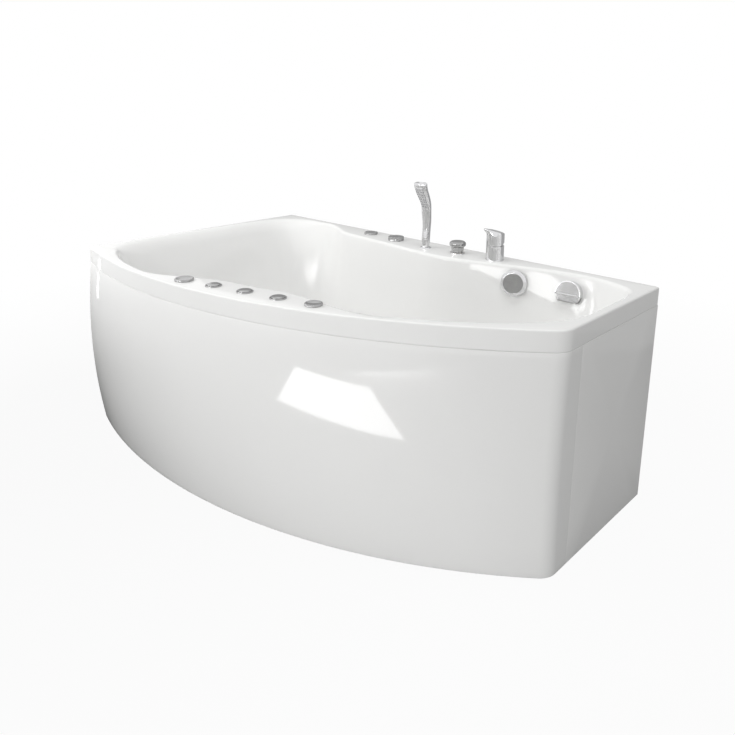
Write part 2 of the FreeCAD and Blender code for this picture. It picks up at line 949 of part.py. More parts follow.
def overflow_body(basin, outside):
    seat = overflow_seat(basin)
    point, out = seat
    body = through_wall(seat, outside, overflow_flange_radius, overflow_body_radius, overflow_body_length,
                        overflow_hole - loose_gap / 2)
    spigot = port(seat, overflow_port_reach, overflow_port_drop, overflow_pipe_radius, DOWN)
    depth = overflow_shaft_length + overrun
    bore = rod(overflow_shaft_radius + running_fit, depth, point - out * overrun, out)
    return body.fuse(spigot).removeSplitter().cut(bore)


def overflow_trim(basin):
    point, out = overflow_seat(basin)
    plate = ring(overflow_trim_radius, overflow_shaft_radius + free_gap, overflow_trim_proud + wall,
                 point - out * overflow_trim_proud, out)
    return plate.common(basin)


def overflow_knob(basin):
    """Turning cap that lifts the plug: bevelled disc with a shallow dish, on a shaft through the wall."""
    point, out = overflow_seat(basin)
    back = overflow_trim_proud + loose_gap / 2
    front = back + overflow_knob_thickness
    dish = front - overflow_knob_dish
    tail = loose_gap - overflow_shaft_length
    profile = ((0, dish), (overflow_knob_face_radius * overflow_dish_share, dish),
               (overflow_knob_face_radius, front), (overflow_knob_radius, back + overflow_knob_thickness / 2),
               (overflow_knob_radius, back), (overflow_shaft_radius, back),
               (overflow_shaft_radius, tail), (0, tail))
    return turned(profile, point, out * -1)


def overflow_pipe(basin):
    """Pipe from the overflow down behind the wall, under the frame and into the waste body."""
    point, out = overflow_seat(basin)
    top = point + out * overflow_port_reach - UP * overflow_port_drop
    entry = waste_spot(overflow_pipe_height) + BACK * waste_body_radius
    before = entry + BACK * (2 * overflow_pipe_bend)
    path = [top, at(top.x, top.y, overflow_pipe_height), before, entry]
    return pipe(path, overflow_pipe_radius, overflow_pipe_bend)


def filler_body(basin, outside):
    seat = filler_seat(basin)
    point, out = seat
    body = through_wall(seat, outside, filler_flange_radius, filler_body_radius, filler_body_length,
                        filler_hole - loose_gap / 2)
    spigot = port(seat, filler_port_reach, filler_port_drop, filler_pipe_radius, DOWN)
    bore = rod(filler_bore, filler_port_reach + overrun, point - out * overrun, out)
    return body.fuse(spigot).removeSplitter().cut(bore)


def filler_hood(basin):
    """Round hood cut off level below, open downward so that water falls along the wall."""
    point, out = filler_seat(basin)
    cap = rod(filler_hood_radius, filler_hood_proud + 2 * wall, point - out * filler_hood_proud, out)
    size = 4 * filler_hood_radius
    chord = block(size, size, size, point - at(size / 2, size / 2, size + filler_chord_drop))
    below = block(size, size, size, point - at(size / 2, size / 2, size + filler_step_drop))
    front = rod(size, filler_step_depth + overrun, point - out * (filler_hood_proud + overrun), out)
    hood = cap.cut(chord).cut(below.common(front))
    depth = filler_hood_proud - filler_step_depth - filler_hood_wall
    slot = rod(filler_hood_radius - filler_hood_wall, depth + 2 * wall, point - out * depth, out)
    return hood.cut(slot).common(basin)


def filler_pipe(basin):
    """Pipe under the deck from the diverter valve to the filler."""
    point, out = filler_seat(basin)
    end = point + out * filler_port_reach - UP * filler_port_drop
    start = back_spot(diverter_share, diverter_inset, deck_under - shank_length)
    run_y = back_y - filler_pipe_from_back
    path = [start, at(start.x, start.y, filler_pipe_height),
            at(start.x + filler_pipe_slant, run_y, filler_pipe_height),
            at(end.x - filler_pipe_slant, run_y, filler_pipe_height),
            at(end.x, end.y, filler_pipe_height), end]
    return pipe(path, filler_pipe_radius, filler_pipe_bend)


# Controls on the rim


def turner(radius, height, spot):
    """Round control that turns: dished face, bevelled edge and a bore for its spindle."""
    bevel = turner_dish / 2
    bore = spindle_radius + running_fit
    lip = radius * turner_dish_share
    dish = height - turner_dish
    profile = ((bore, turner_lift), (radius, turner_lift), (radius, height - bevel), (radius - bevel, height),
               (lip, height), (lip - turner_dish, dish), (0, dish), (0, dish - bevel), (bore, dish - bevel))
    return turned(profile, spot)


def turner_bodies():
    """Valve bodies of the turning controls: shank through the deck and a spindle for the cap."""
    bodies = []
    spots = front_turner_spots(deck_under - shank_length) + back_turner_spots(deck_under - shank_length)
    heights = (turner_height,) * len(front_turner_radii) + back_turner_heights
    for spot, height in zip(spots, heights):
        shank = rod(shank_radius, shank_length + wall, spot)
        top = height - turner_dish - turner_dish / 2 - turner_lift
        spindle = rod(spindle_radius, top, at(spot.x, spot.y, rim_height))
        bodies.append(shank.fuse(spindle))
    return Part.makeCompound(bodies)


def button_sleeves():
    """Sleeves of the push buttons: bezel on the rim and barrel under it, open for the button."""
    bore = button_stem_radius + free_gap
    cup = button_cap_radius + free_gap
    profile = ((bore, -sleeve_length), (sleeve_radius, -sleeve_length), (sleeve_radius, 0),
               (button_radius, 0),
               (button_radius, button_bezel_height - button_edge),
               (button_radius - button_edge, button_bezel_height),
               (cup, button_bezel_height), (cup, free_gap), (bore, free_gap))
    return Part.makeCompound([turned(profile, spot) for spot in button_spots(rim_height)])


def button(spot):
    low = free_gap + button_travel + free_gap
    profile = ((0, button_cap_height), (button_cap_radius - button_edge, button_cap_height),
               (button_cap_radius, button_cap_height - button_edge), (button_cap_radius, low),
               (button_stem_radius, low),
               (button_stem_radius, -button_stem_length), (0, -button_stem_length))
    return turned(profile, spot)


def deck_nuts():
    """Round nuts that hold the fittings up against the underside of the deck."""
    nuts = []
    under = deck_under - deck_nut_height
    spots = [(spot, shank_radius) for spot in front_turner_spots(under) + back_turner_spots(under)]
    spots.extend((spot, sleeve_radius) for spot in button_spots(under))
    spots.append((back_spot(shower_share, shower_inset, under), shank_radius))
    spots.append((back_spot(diverter_share, diverter_inset, under), shank_radius))
    spots.append((back_spot(mixer_share, mixer_inset, under), shank_radius))
    for spot, shank in spots:
        nuts.append(ring(deck_nut_radius, shank, deck_nut_height, spot))
    return Part.makeCompound(nuts)


# Hand shower, diverter and mixer


def shower_socket():
    """Deck socket that the hand shower stands in."""
    spot = back_spot(shower_share, shower_inset, rim_height)
    bore = shower_stem_radius + free_gap
    profile = ((bore, -shower_socket_length), (shank_radius, -shower_socket_length), (shank_radius, 0),
               (shower_socket_radius + shower_socket_flare, 0),
               (shower_socket_radius, shower_socket_proud), (bore, shower_socket_proud))
    return turned(profile, spot)


def shower_section(share, wide_share, deep_share):
    """Oval section of the handle at a share of its height, leaning over the basin towards the top."""
    spot = back_spot(shower_share, shower_inset, rim_height + shower_socket_proud)
    center = spot + UP * (share * shower_height) - BACK * (shower_lean * share ** shower_lean_power)
    wide = shower_width / 2 * wide_share
    deep = shower_depth / 2 * deep_share
    oval = Part.Ellipse(center, max(wide, deep + free_gap / 2), deep)
    return Part.Wire(oval.toShape())


def hand_shower():
    rows = zip(shower_rows_share, shower_widths_share, shower_depths_share)
    handle = Part.makeLoft([shower_section(*row) for row in rows], True, False)
    base = back_spot(shower_share, shower_inset, rim_height + shower_socket_proud - shower_stem_length)
    stem = rod(shower_stem_radius, shower_stem_length, base)
    return handle.fuse(stem).removeSplitter().cut(spray_block())


def spray_block():
    """Rounded plate sunk into the front of the head."""
    spot = back_spot(shower_share, shower_inset, rim_height + shower_socket_proud)
    low = spray_low_share * shower_height
    high = spray_high_share * shower_height
    width = shower_width * spray_width_share
    slope = shower_lean * (spray_high_share ** shower_lean_power - spray_low_share ** shower_lean_power)
    lean_here = shower_lean * spray_low_share ** shower_lean_power
    front = lean_here + shower_depth / 2 * spray_depth_share - spray_sink
    length = math.hypot(high - low, slope)
    plate = block(width, spray_thickness, length, at(-width / 2, -spray_thickness, 0))
    corners = [edge for edge in plate.Edges if abs(edge.tangentAt(edge.FirstParameter).y) > upright_share]
    plate = plate.makeFillet(spray_edge, corners)
    tilt = FreeCAD.Rotation(ALONG, math.degrees(math.atan2(slope, high - low)))
    plate.Placement = FreeCAD.Placement(spot + UP * low - BACK * front, tilt)
    return plate


def shower_face():
    return spray_block()


def diverter_valve():
    """Valve under the deck, with the base ring and the spindle of the knob above it."""
    spot = back_spot(diverter_share, diverter_inset, deck_under - shank_length)
    deck = back_spot(diverter_share, diverter_inset, rim_height)
    shank = rod(shank_radius, shank_length + wall, spot)
    base = rod(diverter_base_radius, diverter_base_height, deck)
    spindle = rod(spindle_radius, spindle_length, deck)
    return fused([shank, base, spindle])


def diverter_knob():
    """Fluted knob, wider at the top, with a dished face and the bore for its spindle."""
    deck = back_spot(diverter_share, diverter_inset, rim_height + diverter_base_height + free_gap)
    bore = spindle_radius + running_fit
    bore_top = spindle_length - diverter_base_height
    profile = ((bore, 0), (diverter_foot_radius, 0), (diverter_top_radius, diverter_height - diverter_dish),
               (diverter_top_radius - diverter_dish, diverter_height),
               (diverter_foot_radius, diverter_height),
               (diverter_foot_radius - diverter_dish, diverter_height - diverter_dish),
               (0, diverter_height - diverter_dish), (0, bore_top), (bore, bore_top))
    knob = turned(profile, deck)
    flutes = []
    for number in range(diverter_flutes):
        angle = 2 * math.pi * number / diverter_flutes
        heading = at(math.cos(angle), math.sin(angle), 0)
        low = deck + heading * (diverter_foot_radius + flute_radius - flute_depth)
        high = deck + heading * (diverter_top_radius + flute_radius - flute_depth) + UP * diverter_height
        flutes.append(rod(flute_radius, (high - low).Length + 2 * overrun,
                          low - (high - low).normalize() * overrun, high - low))
    return knob.cut(Part.makeCompound(flutes))


def mixer_center():
    return back_spot(mixer_share, mixer_inset, rim_height + mixer_column_height + mixer_ball_rise)


def mixer_body():
    """Column on the deck with its shank below and the bore for the turret's spigot."""
    spot = back_spot(mixer_share, mixer_inset, rim_height)
    edge = mixer_flange_height / 2
    bore = mixer_spigot_radius + running_fit
    seat = mixer_column_height - mixer_spigot_length - loose_gap
    profile = ((0, -mixer_shank_length), (mixer_shank_radius, -mixer_shank_length), (mixer_shank_radius, 0),
               (mixer_flange_radius, 0), (mixer_flange_radius, edge),
               (mixer_flange_radius - edge, mixer_flange_height), (mixer_radius, mixer_flange_height),
               (mixer_radius, mixer_column_height), (bore, mixer_column_height), (bore, seat), (0, seat))
    return turned(profile, spot)


def lever_heading():
    """Level direction in which the lever's beak points."""
    angle = math.radians(lever_heading_deg)
    return at(math.cos(angle), math.sin(angle), 0)


def mixer_turret():
    """Ball that turns on the column for warm and cold, crossed by the bore for the lever's pin."""
    center = mixer_center()
    low = center - UP * mixer_ball_rise
    size = 4 * mixer_ball_radius
    ball = Part.makeSphere(mixer_ball_radius, center)
    below = block(size, size, size, low - at(size / 2, size / 2, size))
    spigot = rod(mixer_spigot_radius, mixer_spigot_length, low - UP * mixer_spigot_length)
    pin_axis = lever_heading().cross(UP)
    bore = rod(lever_pin_radius + running_fit, size, center - pin_axis * size / 2, pin_axis)
    return ball.cut(below).fuse(spigot).cut(bore)


def mixer_lever():
    """Lever: sloped cap round the ball with a thin beak, and the pin that it tilts on."""
    center = mixer_center()
    top = rim_height + lever_height
    low = center + UP * lever_skirt_rise
    heading = lever_heading()
    cap = rod(lever_outer_radius, top - low.z + overrun, low)
    beak_low = at(center.x, center.y, top - lever_beak_thickness * 2)
    side = heading.cross(UP)
    right = beak_low + side * (lever_beak_width / 2)
    left = beak_low - side * (lever_beak_width / 2)
    plan = [right, right + heading * lever_beak_reach, left + heading * lever_beak_reach, left]
    beak = Part.Face(Part.makePolygon(plan + plan[:1])).extrude(UP * (lever_beak_thickness * 2 + overrun))
    size = 8 * lever_outer_radius
    roof = Part.makeBox(size, size, size, at(-size / 2, -size / 2, 0))
    slope = FreeCAD.Rotation(heading.cross(UP), lever_slope_deg)
    tip = at(center.x, center.y, top) + heading * lever_beak_reach
    roof.Placement = FreeCAD.Placement(tip, slope)
    underside = Part.makeBox(size, size, size, at(-size / 2, -size / 2, -size))
    underside.Placement = FreeCAD.Placement(tip - UP * lever_beak_thickness, slope)
    beak = beak.cut(underside)
    hollow = Part.makeSphere(mixer_ball_radius + free_gap, center)
    reach = lever_outer_radius - loose_gap
    pin = rod(lever_pin_radius, 2 * reach, center - side * reach, side)
    lugs = [rod(lever_pin_radius * 2, reach - mixer_ball_radius - free_gap,
                center + side * way * (mixer_ball_radius + free_gap), side * way) for way in (-1, 1)]
    return fused([cap.fuse(beak).cut(roof).cut(hollow), pin] + lugs)


def supply_pipes():
    """Hot and cold pipes from the mixer's shank down and out to the back."""
    pipes = []
    for way in (-1, 1):
        x = mixer_share * half_length + way * supply_spread / 2
        y = back_y - mixer_inset
        top = rim_height - mixer_shank_length
        low = top - supply_drop
        forward = y - supply_forward
        aside = x + way * supply_spread
        path = [at(x, y, top), at(x, y, top - 2 * supply_bend), at(aside, forward, top - 4 * supply_bend),
                at(aside, forward, low), at(aside, back_y - supply_from_back, low)]
        pipes.append(pipe(path, supply_radius, supply_bend))
    return Part.makeCompound(pipes)


# Jets, pipes and pump


def jet_rims(basin):
    rims = []
    for point, out in jet_seats(basin):
        plate = rod(jet_rim_radius, jet_rim_proud + wall, point - out * jet_rim_proud, out).common(basin)
        center = point + out * jet_ball_sink
        rims.append(plate.cut(Part.makeSphere(jet_ball_radius + free_gap, center)))
    return Part.makeCompound(rims)


def jet_bodies(basin, outside):
    """Jet housings behind the wall, each with a water spigot above and an air spigot below."""
    bodies = []
    for seat in jet_seats(basin):
        point, out = seat
        body = through_wall(seat, outside, jet_flange_radius, jet_barrel_radius, jet_length, jet_neck_radius)
        water = port(seat, jet_port_reach, jet_port_drop, jet_water_radius, UP)
        air = port(seat, jet_port_reach, jet_port_drop, jet_air_radius, DOWN)
        center = point + out * jet_ball_sink
        cup = Part.makeSphere(jet_ball_radius + free_gap, center)
        mouth = rod(jet_ball_radius + free_gap, jet_ball_sink + overrun, point - out * overrun, out)
        bodies.append(fused([body, water, air]).cut(cup.fuse(mouth)))
    return Part.makeCompound(bodies)


def jet_nozzle(seat):
    """Swivelling ball with the water bore."""
    point, out = seat
    center = point + out * jet_ball_sink
    ball = Part.makeSphere(jet_ball_radius, center)
    keep = rod(jet_ball_radius + overrun, jet_ball_nose + jet_ball_tail, center - out * jet_ball_nose, out)
    bore = rod(jet_bore, 4 * jet_ball_radius, center - out * 2 * jet_ball_radius, out)
    return ball.common(keep).cut(bore)


def port_ends(seats, drop):
    return [point + out * jet_port_reach + UP * drop for point, out in seats]


def pressure_pipe(basin):
    """Water pipe round the tub: along the front jets, round the left-hand end and along the back jets."""
    ends = port_ends(jet_seats(basin), jet_port_drop)
    count = len(front_jet_shares)
    level = [at(end.x, end.y, pressure_height) for end in ends]
    front = level[:count][::-1]
    back = [back_spot(pressure_back_share, pressure_back_inset, pressure_height)] + level[count:]
    corners = [at(pump_x + pressure_corner, front[-1].y, pressure_height),
               at(pump_x, front[-1].y + pressure_corner, pressure_height),
               at(pump_x, back[0].y - pressure_corner, pressure_height),
               at(pump_x + pressure_corner, back[0].y, pressure_height)]
    main = pipe(front + corners + back, pressure_radius, pressure_bend)
    stubs = [rod(jet_water_radius, pressure_height - end.z, end) for end in ends]
    pump = rod(outlet_radius, pressure_height - outlet_top, pump_spot(outlet_top))
    return fused([main, pump] + stubs)


def air_pipes(basin):
    """Air pipes: one along the front and one along the back, from the turning controls to the jets."""
    ends = port_ends(jet_seats(basin), -jet_port_drop)
    count = len(front_jet_shares)
    low = deck_under - shank_length
    runs = ((ends[:count], front_turner_spots(low)), (ends[count:], back_turner_spots(low)))
    pipes = []
    for jets, turners in runs:
        stations = sorted(jets + turners, key=lambda spot: spot.x)
        branches = [pipe([at(spot.x, spot.y, air_height) for spot in stations], air_radius, air_bend)]
        for radius, spots in ((jet_air_radius, jets), (air_radius, turners)):
            for spot in spots:
                branches.append(rod(radius, spot.z - air_height, at(spot.x, spot.y, air_height)))
        pipes.append(fused(branches))
    return Part.makeCompound(pipes)


def pump_spot(z):
    """Point above the middle of the pump's volute."""
    return at(pump_x, volute_back - volute_length / 2, z)


def pump_body():
    """Volute with its inlet to the back, its outlet upward and its foot."""
    center = at(pump_x, volute_back - volute_length, pump_axis_height)
    volute = rod(volute_radius, volute_length, center, BACK)
    volute = volute.makeFillet(volute_round, [edge for edge in volute.Edges if edge.Closed])
    inlet = rod(inlet_radius, inlet_length, at(pump_x, volute_back, pump_axis_height), BACK)
    outlet = rod(outlet_radius, outlet_rise + volute_radius, pump_spot(pump_axis_height))
    foot = block(pump_foot_width, pump_foot_length, pump_axis_height - plate_top,
                 at(pump_x - pump_foot_width / 2, pump_spot(0).y - pump_foot_length / 2, plate_top))
    return fused([volute, inlet, outlet, foot])


def pump_motor():
    """Ribbed motor in front of the volute, on its own foot."""
    back = volute_back - volute_length
    start = at(pump_x, back - motor_length, pump_axis_height)
    case = rod(motor_radius, motor_length, start, BACK)
    ribs = []
    for number in range(motor_ribs):
        rib = block(motor_rib_width, motor_length - 2 * fan_cover_round, motor_rib_height + motor_rib_width,
                    at(-motor_rib_width / 2, fan_cover_round, motor_radius - motor_rib_width))
        turn = FreeCAD.Rotation(BACK, 360 * (number + 0.5) / motor_ribs)
        rib.Placement = FreeCAD.Placement(start, turn)
        ribs.append(rib)
    foot = block(motor_foot_width, motor_length / 2, pump_axis_height - plate_top,
                 at(pump_x - motor_foot_width / 2, back - motor_length * 3 / 4, plate_top))
    return fused([case, foot] + ribs)


def pump_fan_cover():
    front = volute_back - volute_length - motor_length - fan_cover_length
    cover = rod(fan_cover_radius, fan_cover_length, at(pump_x, front, pump_axis_height), BACK)
    rounded = [edge for edge in cover.Edges if edge.Closed and edge.BoundBox.YMax < front + overrun]
    return cover.makeFillet(fan_cover_round, rounded)


def pump_plate():
    """Plate across the frame's rails that carries the pump and the control box."""
    left = post_edge - half_length - rail / 2
    right = pump_rail_share * half_length + rail / 2
    return block(right - left, pump_plate_back - pump_plate_front, pump_plate_thickness,
                 at(left, pump_plate_front, board_bottom))


def control_box():
    low = at(pump_x - box_length / 2, pump_plate_front + box_from_plate, plate_top)
    box = block(box_length, box_width, box_height, low)
    uprights = [edge for edge in box.Edges if abs(edge.tangentAt(edge.FirstParameter).z) > upright_share]
    return box.makeFillet(box_round, uprights)


def suction_fitting(basin, outside):
    """Suction body behind the wall with a spigot towards the pump's end."""
    seat = suction_seat(basin)
    point, out = seat
    body = through_wall(seat, outside, suction_flange_radius, suction_body_radius, suction_body_length,
                        suction_hole - loose_gap / 2)
    spigot = rod(suction_pipe_radius, suction_port_length, point + out * suction_port_reach, ALONG * -1)
    bore = rod(suction_hole - 2 * wall, suction_port_reach + overrun, point - out * overrun, out)
    return body.fuse(spigot).removeSplitter().cut(bore)


def suction_grille(basin):
    """Round grille over the suction hole with a ring of slots."""
    point, out = suction_seat(basin)
    plate = rod(suction_grille_radius, suction_grille_proud + wall, point - out * suction_grille_proud, out)
    slots = []
    for number in range(suction_slots):
        slot = block(suction_slot_length, suction_slot_width, 4 * overrun,
                     at(suction_slot_ring - suction_slot_length, -suction_slot_width / 2, -2 * overrun))
        spin = FreeCAD.Rotation(UP, 360 * number / suction_slots)
        slot.Placement = FreeCAD.Placement(point, FreeCAD.Rotation(UP, out).multiply(spin))
        slots.append(slot)
    return plate.common(basin).cut(Part.makeCompound(slots))


def suction_pipe(basin):
    point, out = suction_seat(basin)
    start = point + out * suction_port_reach - ALONG * suction_port_length
    inlet = at(pump_x, volute_back + inlet_length, pump_axis_height)
    level = start - ALONG * suction_pipe_bend
    path = [start, level, at(pump_x, start.y, pump_axis_height), inlet]
    return pipe(path, suction_pipe_radius, suction_pipe_bend)


def named_pieces():
    """Every piece under its plain name."""
    basin = basin_solid(0, 0)
    outside = basin_solid(wall, wall)
    pieces = {
        "tub_shell": tub_shell(basin, outside),
        "front_panel": front_panel(),
        "end_panel": end_panel(),
        "base_board": base_board(),
        "base_frame": base_frame(),
        "rim_posts": rim_posts(),
        "foot_pads": foot_pads(),
        "foot_studs": foot_studs(),
        "foot_nuts": foot_nuts(),
        "panel_brackets": panel_brackets(),
        "waste_flange": waste_flange(),
        "waste_gasket": waste_gasket(),
        "waste_body": waste_body(),
        "waste_plug": waste_plug(),
        "trap": trap(),
        "overflow_body": overflow_body(basin, outside),
        "overflow_trim": overflow_trim(basin),
        "overflow_knob": overflow_knob(basin),
        "overflow_pipe": overflow_pipe(basin),
        "filler_body": filler_body(basin, outside),
        "filler_hood": filler_hood(basin),
        "filler_pipe": filler_pipe(basin),
        "turner_bodies": turner_bodies(),
        "button_sleeves": button_sleeves(),
        "deck_nuts": deck_nuts(),
        "shower_socket": shower_socket(),
        "hand_shower": hand_shower(),
        "shower_face": shower_face(),
        "diverter_valve": diverter_valve(),
        "diverter_knob": diverter_knob(),
        "mixer_body": mixer_body(),
        "mixer_turret": mixer_turret(),
        "mixer_lever": mixer_lever(),
        "supply_pipes": supply_pipes(),
        "jet_rims": jet_rims(basin),
        "jet_bodies": jet_bodies(basin, outside),
        "pressure_pipe": pressure_pipe(basin),
        "air_pipes": air_pipes(basin),
        "pump_body": pump_body(),
        "pump_motor": pump_motor(),
        "pump_fan_cover": pump_fan_cover(),
        "pump_plate": pump_plate(),
        "control_box": control_box(),
        "suction_fitting": suction_fitting(basin, outside),
        "suction_grille": suction_grille(basin),
        "suction_pipe": suction_pipe(basin),
    }
    sides = ("left", "right")
    for side, radius, spot in zip(sides, front_turner_radii, front_turner_spots(rim_height)):
        pieces["front_turner_" + side] = turner(radius, turner_height, spot)
    back_caps = zip(sides, back_turner_radii, back_turner_heights, back_turner_spots(rim_height))
    for side, radius, height, spot in back_caps:
        pieces["back_turner_" + side] = turner(radius, height, spot)
    for place, spot in zip(("left", "middle", "right"), button_spots(rim_height)):
        pieces["button_" + place] = button(spot)
    rows = [row + "_" + place for row in ("front", "back") for place in ("left", "middle", "right")]
    for row, seat in zip(rows, jet_seats(basin)):
        pieces["jet_" + row] = jet_nozzle(seat)
    return pieces


def main():
    os.makedirs("parts", exist_ok=True)
    for name, shape in named_pieces().items():
        shape.exportStep("parts/" + name + ".step")


if __name__ == "__main__":
    main()
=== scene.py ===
"""Looks of a jetted corner bathtub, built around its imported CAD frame. All lengths are in metres."""

import json
import math
from bisect import bisect_left

import bmesh
import bpy
from bpy.props import FloatProperty, FloatVectorProperty, IntProperty, PointerProperty
from mathutils import Matrix, Vector


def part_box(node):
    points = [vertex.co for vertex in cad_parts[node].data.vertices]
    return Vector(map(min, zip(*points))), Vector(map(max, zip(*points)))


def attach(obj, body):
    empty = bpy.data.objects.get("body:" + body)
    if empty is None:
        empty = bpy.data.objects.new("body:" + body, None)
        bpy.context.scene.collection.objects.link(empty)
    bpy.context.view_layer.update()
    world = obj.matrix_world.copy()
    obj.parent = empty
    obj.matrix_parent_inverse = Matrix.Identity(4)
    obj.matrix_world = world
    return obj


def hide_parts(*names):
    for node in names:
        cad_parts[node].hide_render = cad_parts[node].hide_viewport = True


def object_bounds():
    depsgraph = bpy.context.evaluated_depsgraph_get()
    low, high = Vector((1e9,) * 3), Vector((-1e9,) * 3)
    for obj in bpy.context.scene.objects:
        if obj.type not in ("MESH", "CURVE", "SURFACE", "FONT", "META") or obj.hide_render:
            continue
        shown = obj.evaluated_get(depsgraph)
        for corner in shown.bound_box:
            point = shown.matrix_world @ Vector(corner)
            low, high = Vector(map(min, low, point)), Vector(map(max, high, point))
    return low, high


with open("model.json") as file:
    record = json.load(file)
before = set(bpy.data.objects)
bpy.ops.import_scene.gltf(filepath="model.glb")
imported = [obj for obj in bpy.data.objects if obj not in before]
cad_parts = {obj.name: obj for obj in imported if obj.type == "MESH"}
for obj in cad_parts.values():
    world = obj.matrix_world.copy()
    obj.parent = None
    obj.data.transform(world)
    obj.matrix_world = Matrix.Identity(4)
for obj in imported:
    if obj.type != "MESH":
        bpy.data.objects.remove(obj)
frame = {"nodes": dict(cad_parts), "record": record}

bl_info = {
    "name": "Jetted bathtub",
    "version": (1, 0, 0),
    "blender": (4, 5, 0),
    "location": "View3D > Sidebar > Bathtub",
    "description": "Builds the looks of a jetted corner bathtub on its CAD frame",
    "category": "Object",
}

CAD_LOW, CAD_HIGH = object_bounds()
UP = Vector((0, 0, 1))
TINY = 1e-7


# Kinds of property


def length(name, default, description):
    return FloatProperty(name=name, description=description, default=default, unit="LENGTH", precision=4)


def number(name, default, description):
    return FloatProperty(name=name, description=description, default=default, precision=3)


def angle(name, degrees, description):
    return FloatProperty(name=name, description=description, default=math.radians(degrees), unit="ROTATION")


def location(name, default, description):
    return FloatVectorProperty(name=name, description=description, default=default, subtype="TRANSLATION",
                               unit="LENGTH", size=3)


def count(name, default, description):
    return IntProperty(name=name, description=description, default=default, min=1)


def colour(name, default, description):
    return FloatVectorProperty(name=name, description=description, default=default, subtype="COLOR",
                               size=3, min=0, max=1)


# Sizes and colours that a user would change


class TubSizes(bpy.types.PropertyGroup):
    """Sizes of the acrylic tub."""

    half_length: length("Half length", (CAD_HIGH.x - CAD_LOW.x) / 2, "Half of the tub's length")
    back: length("Back", CAD_HIGH.y, "Where the straight back is")
    rim_height: length("Rim height", 0.6, "Height of the flat rim above the floor")
    rim_depth: length("Rim depth", 0.888, "From the back to the foremost point of the rim")
    front_radius: length("Front radius", 1.65, "Radius of the bowed front edge")
    apex_x: length("Front apex", -0.35, "Where the front edge comes foremost")
    left_corner: length("Left corner", 0.026, "Radius of the front corner at the left-hand end")
    right_corner: length("Right corner", 0.055, "Radius of the front corner at the right-hand end")
    wall_corner: length("Wall corner", 0.007, "Radius of the corners at the back")
    wall: length("Wall", 0.006, "Thickness of the acrylic")
    apron: length("Apron", 0.048, "Height of the apron under the rim")
    front_round: length("Front edge round", 0.0045, "Rounding of the rim's front edge")
    end_round: length("End edge round", 0.005, "Rounding of the rim's right-hand edge")
    wall_round: length("Wall edge round", 0.006, "Rounding of the rim's edges along the walls")
    apron_lip: length("Apron lip", 0.0006, "Rounding of the apron's lower edge")
    apron_lean: length("Apron lean", 0.004, "How far the apron leans back at its top along the front")
    basin_round: length("Basin edge round", 0.010, "Rounding from the rim into the basin")
    backrest_round: length("Backrest round", 0.040, "Rounding from the left-hand rim into the backrest")
    backrest_shift: length("Backrest shift", 0.022, "How far that rounding moves the backrest's top in")
    end_rim: length("End rim", 0.026, "Width of the rim at the ends")
    front_end_rim: length("Front rim", 0.031, "Width of the front rim beside the shelf")
    front_shelf: length("Front shelf", 0.116, "Width of the front shelf that carries the controls")
    back_shelf_left: length("Back shelf left", 0.104, "Width of the back deck where it starts")
    back_shelf_right: length("Back shelf right", 0.142, "Width of the back deck where it is widest")
    floor: length("Basin floor", 0.16, "Height of the basin's floor")
    backrest_run: length("Backrest run", 0.285, "How far the backrest leans in")
    foot_run: length("Foot run", 0.135, "How far the foot end leans in")
    floor_back: length("Floor back inset", 0.21, "From the back to the basin's floor")
    floor_front: length("Floor front inset", 0.19, "From the front edge to the basin's floor")
    side_lean_share: number("Side lean", 0.55, "Share of a side's run that is straight")
    backrest_lean_share: number("Backrest lean", 0.80, "Share of the backrest's run that is straight")
    floor_power: number("Floor rounding", 4.0, "Squareness of the rounding into the floor")
    rim_squareness: number("Rim squareness", 6.0, "Squareness of the basin's outline at the rim")
    floor_squareness: number("Floor squareness", 4.0, "Squareness of the basin's outline at the floor")
    jet_hole: length("Jet hole", 0.021, "Radius of the holes for the jets")
    overflow_hole: length("Overflow hole", 0.023, "Radius of the hole for the overflow")
    filler_hole: length("Filler hole", 0.017, "Radius of the hole for the filler")
    suction_hole: length("Suction hole", 0.027, "Radius of the hole for the suction fitting")
    deck_hole: length("Deck hole", 0.0155, "Radius of the holes for the fittings on the deck")
    waste_hole: length("Waste hole", 0.026, "Radius of the hole for the waste")
    hole_reach: length("Hole reach", 0.024, "How far the upright holes reach above and below their height")
    columns: count("Columns", 480, "Points round the tub, a multiple of four")
    rows: count("Rows", 34, "Rows of points down the basin's wall")
    round_steps: count("Round steps", 7, "Steps in a rounded edge")


class PanelSizes(bpy.types.PropertyGroup):
    """Sizes of the front and end panels."""

    bow: length("Bow", 0.022, "How far the front panel swells at half its height")
    corner_bow_share: number("Corner bow", 0.45, "Share of the bow that is left at the right-hand corner")
    top: length("Top", 0.5517, "Height of the panels' upper edge")
    bottom: length("Bottom", 0.003, "Gap under the panels")
    thickness: length("Thickness", 0.004, "Thickness of the panels")
    flange: length("Flange", 0.012, "Depth of the folded edges")
    edge: length("Edge round", 0.0025, "Rounding of the panels' edges")
    seam_y: length("Seam place", 0.057, "Where the front panel ends on the right-hand end")
    seam: length("Seam", 0.001, "Gap between the panels")
    wall_return: length("Wall return", 0.01, "How far the front panel turns in along the left-hand wall")
    columns: count("Columns", 260, "Points along the front panel")
    rows: count("Rows", 40, "Points up the front panel")


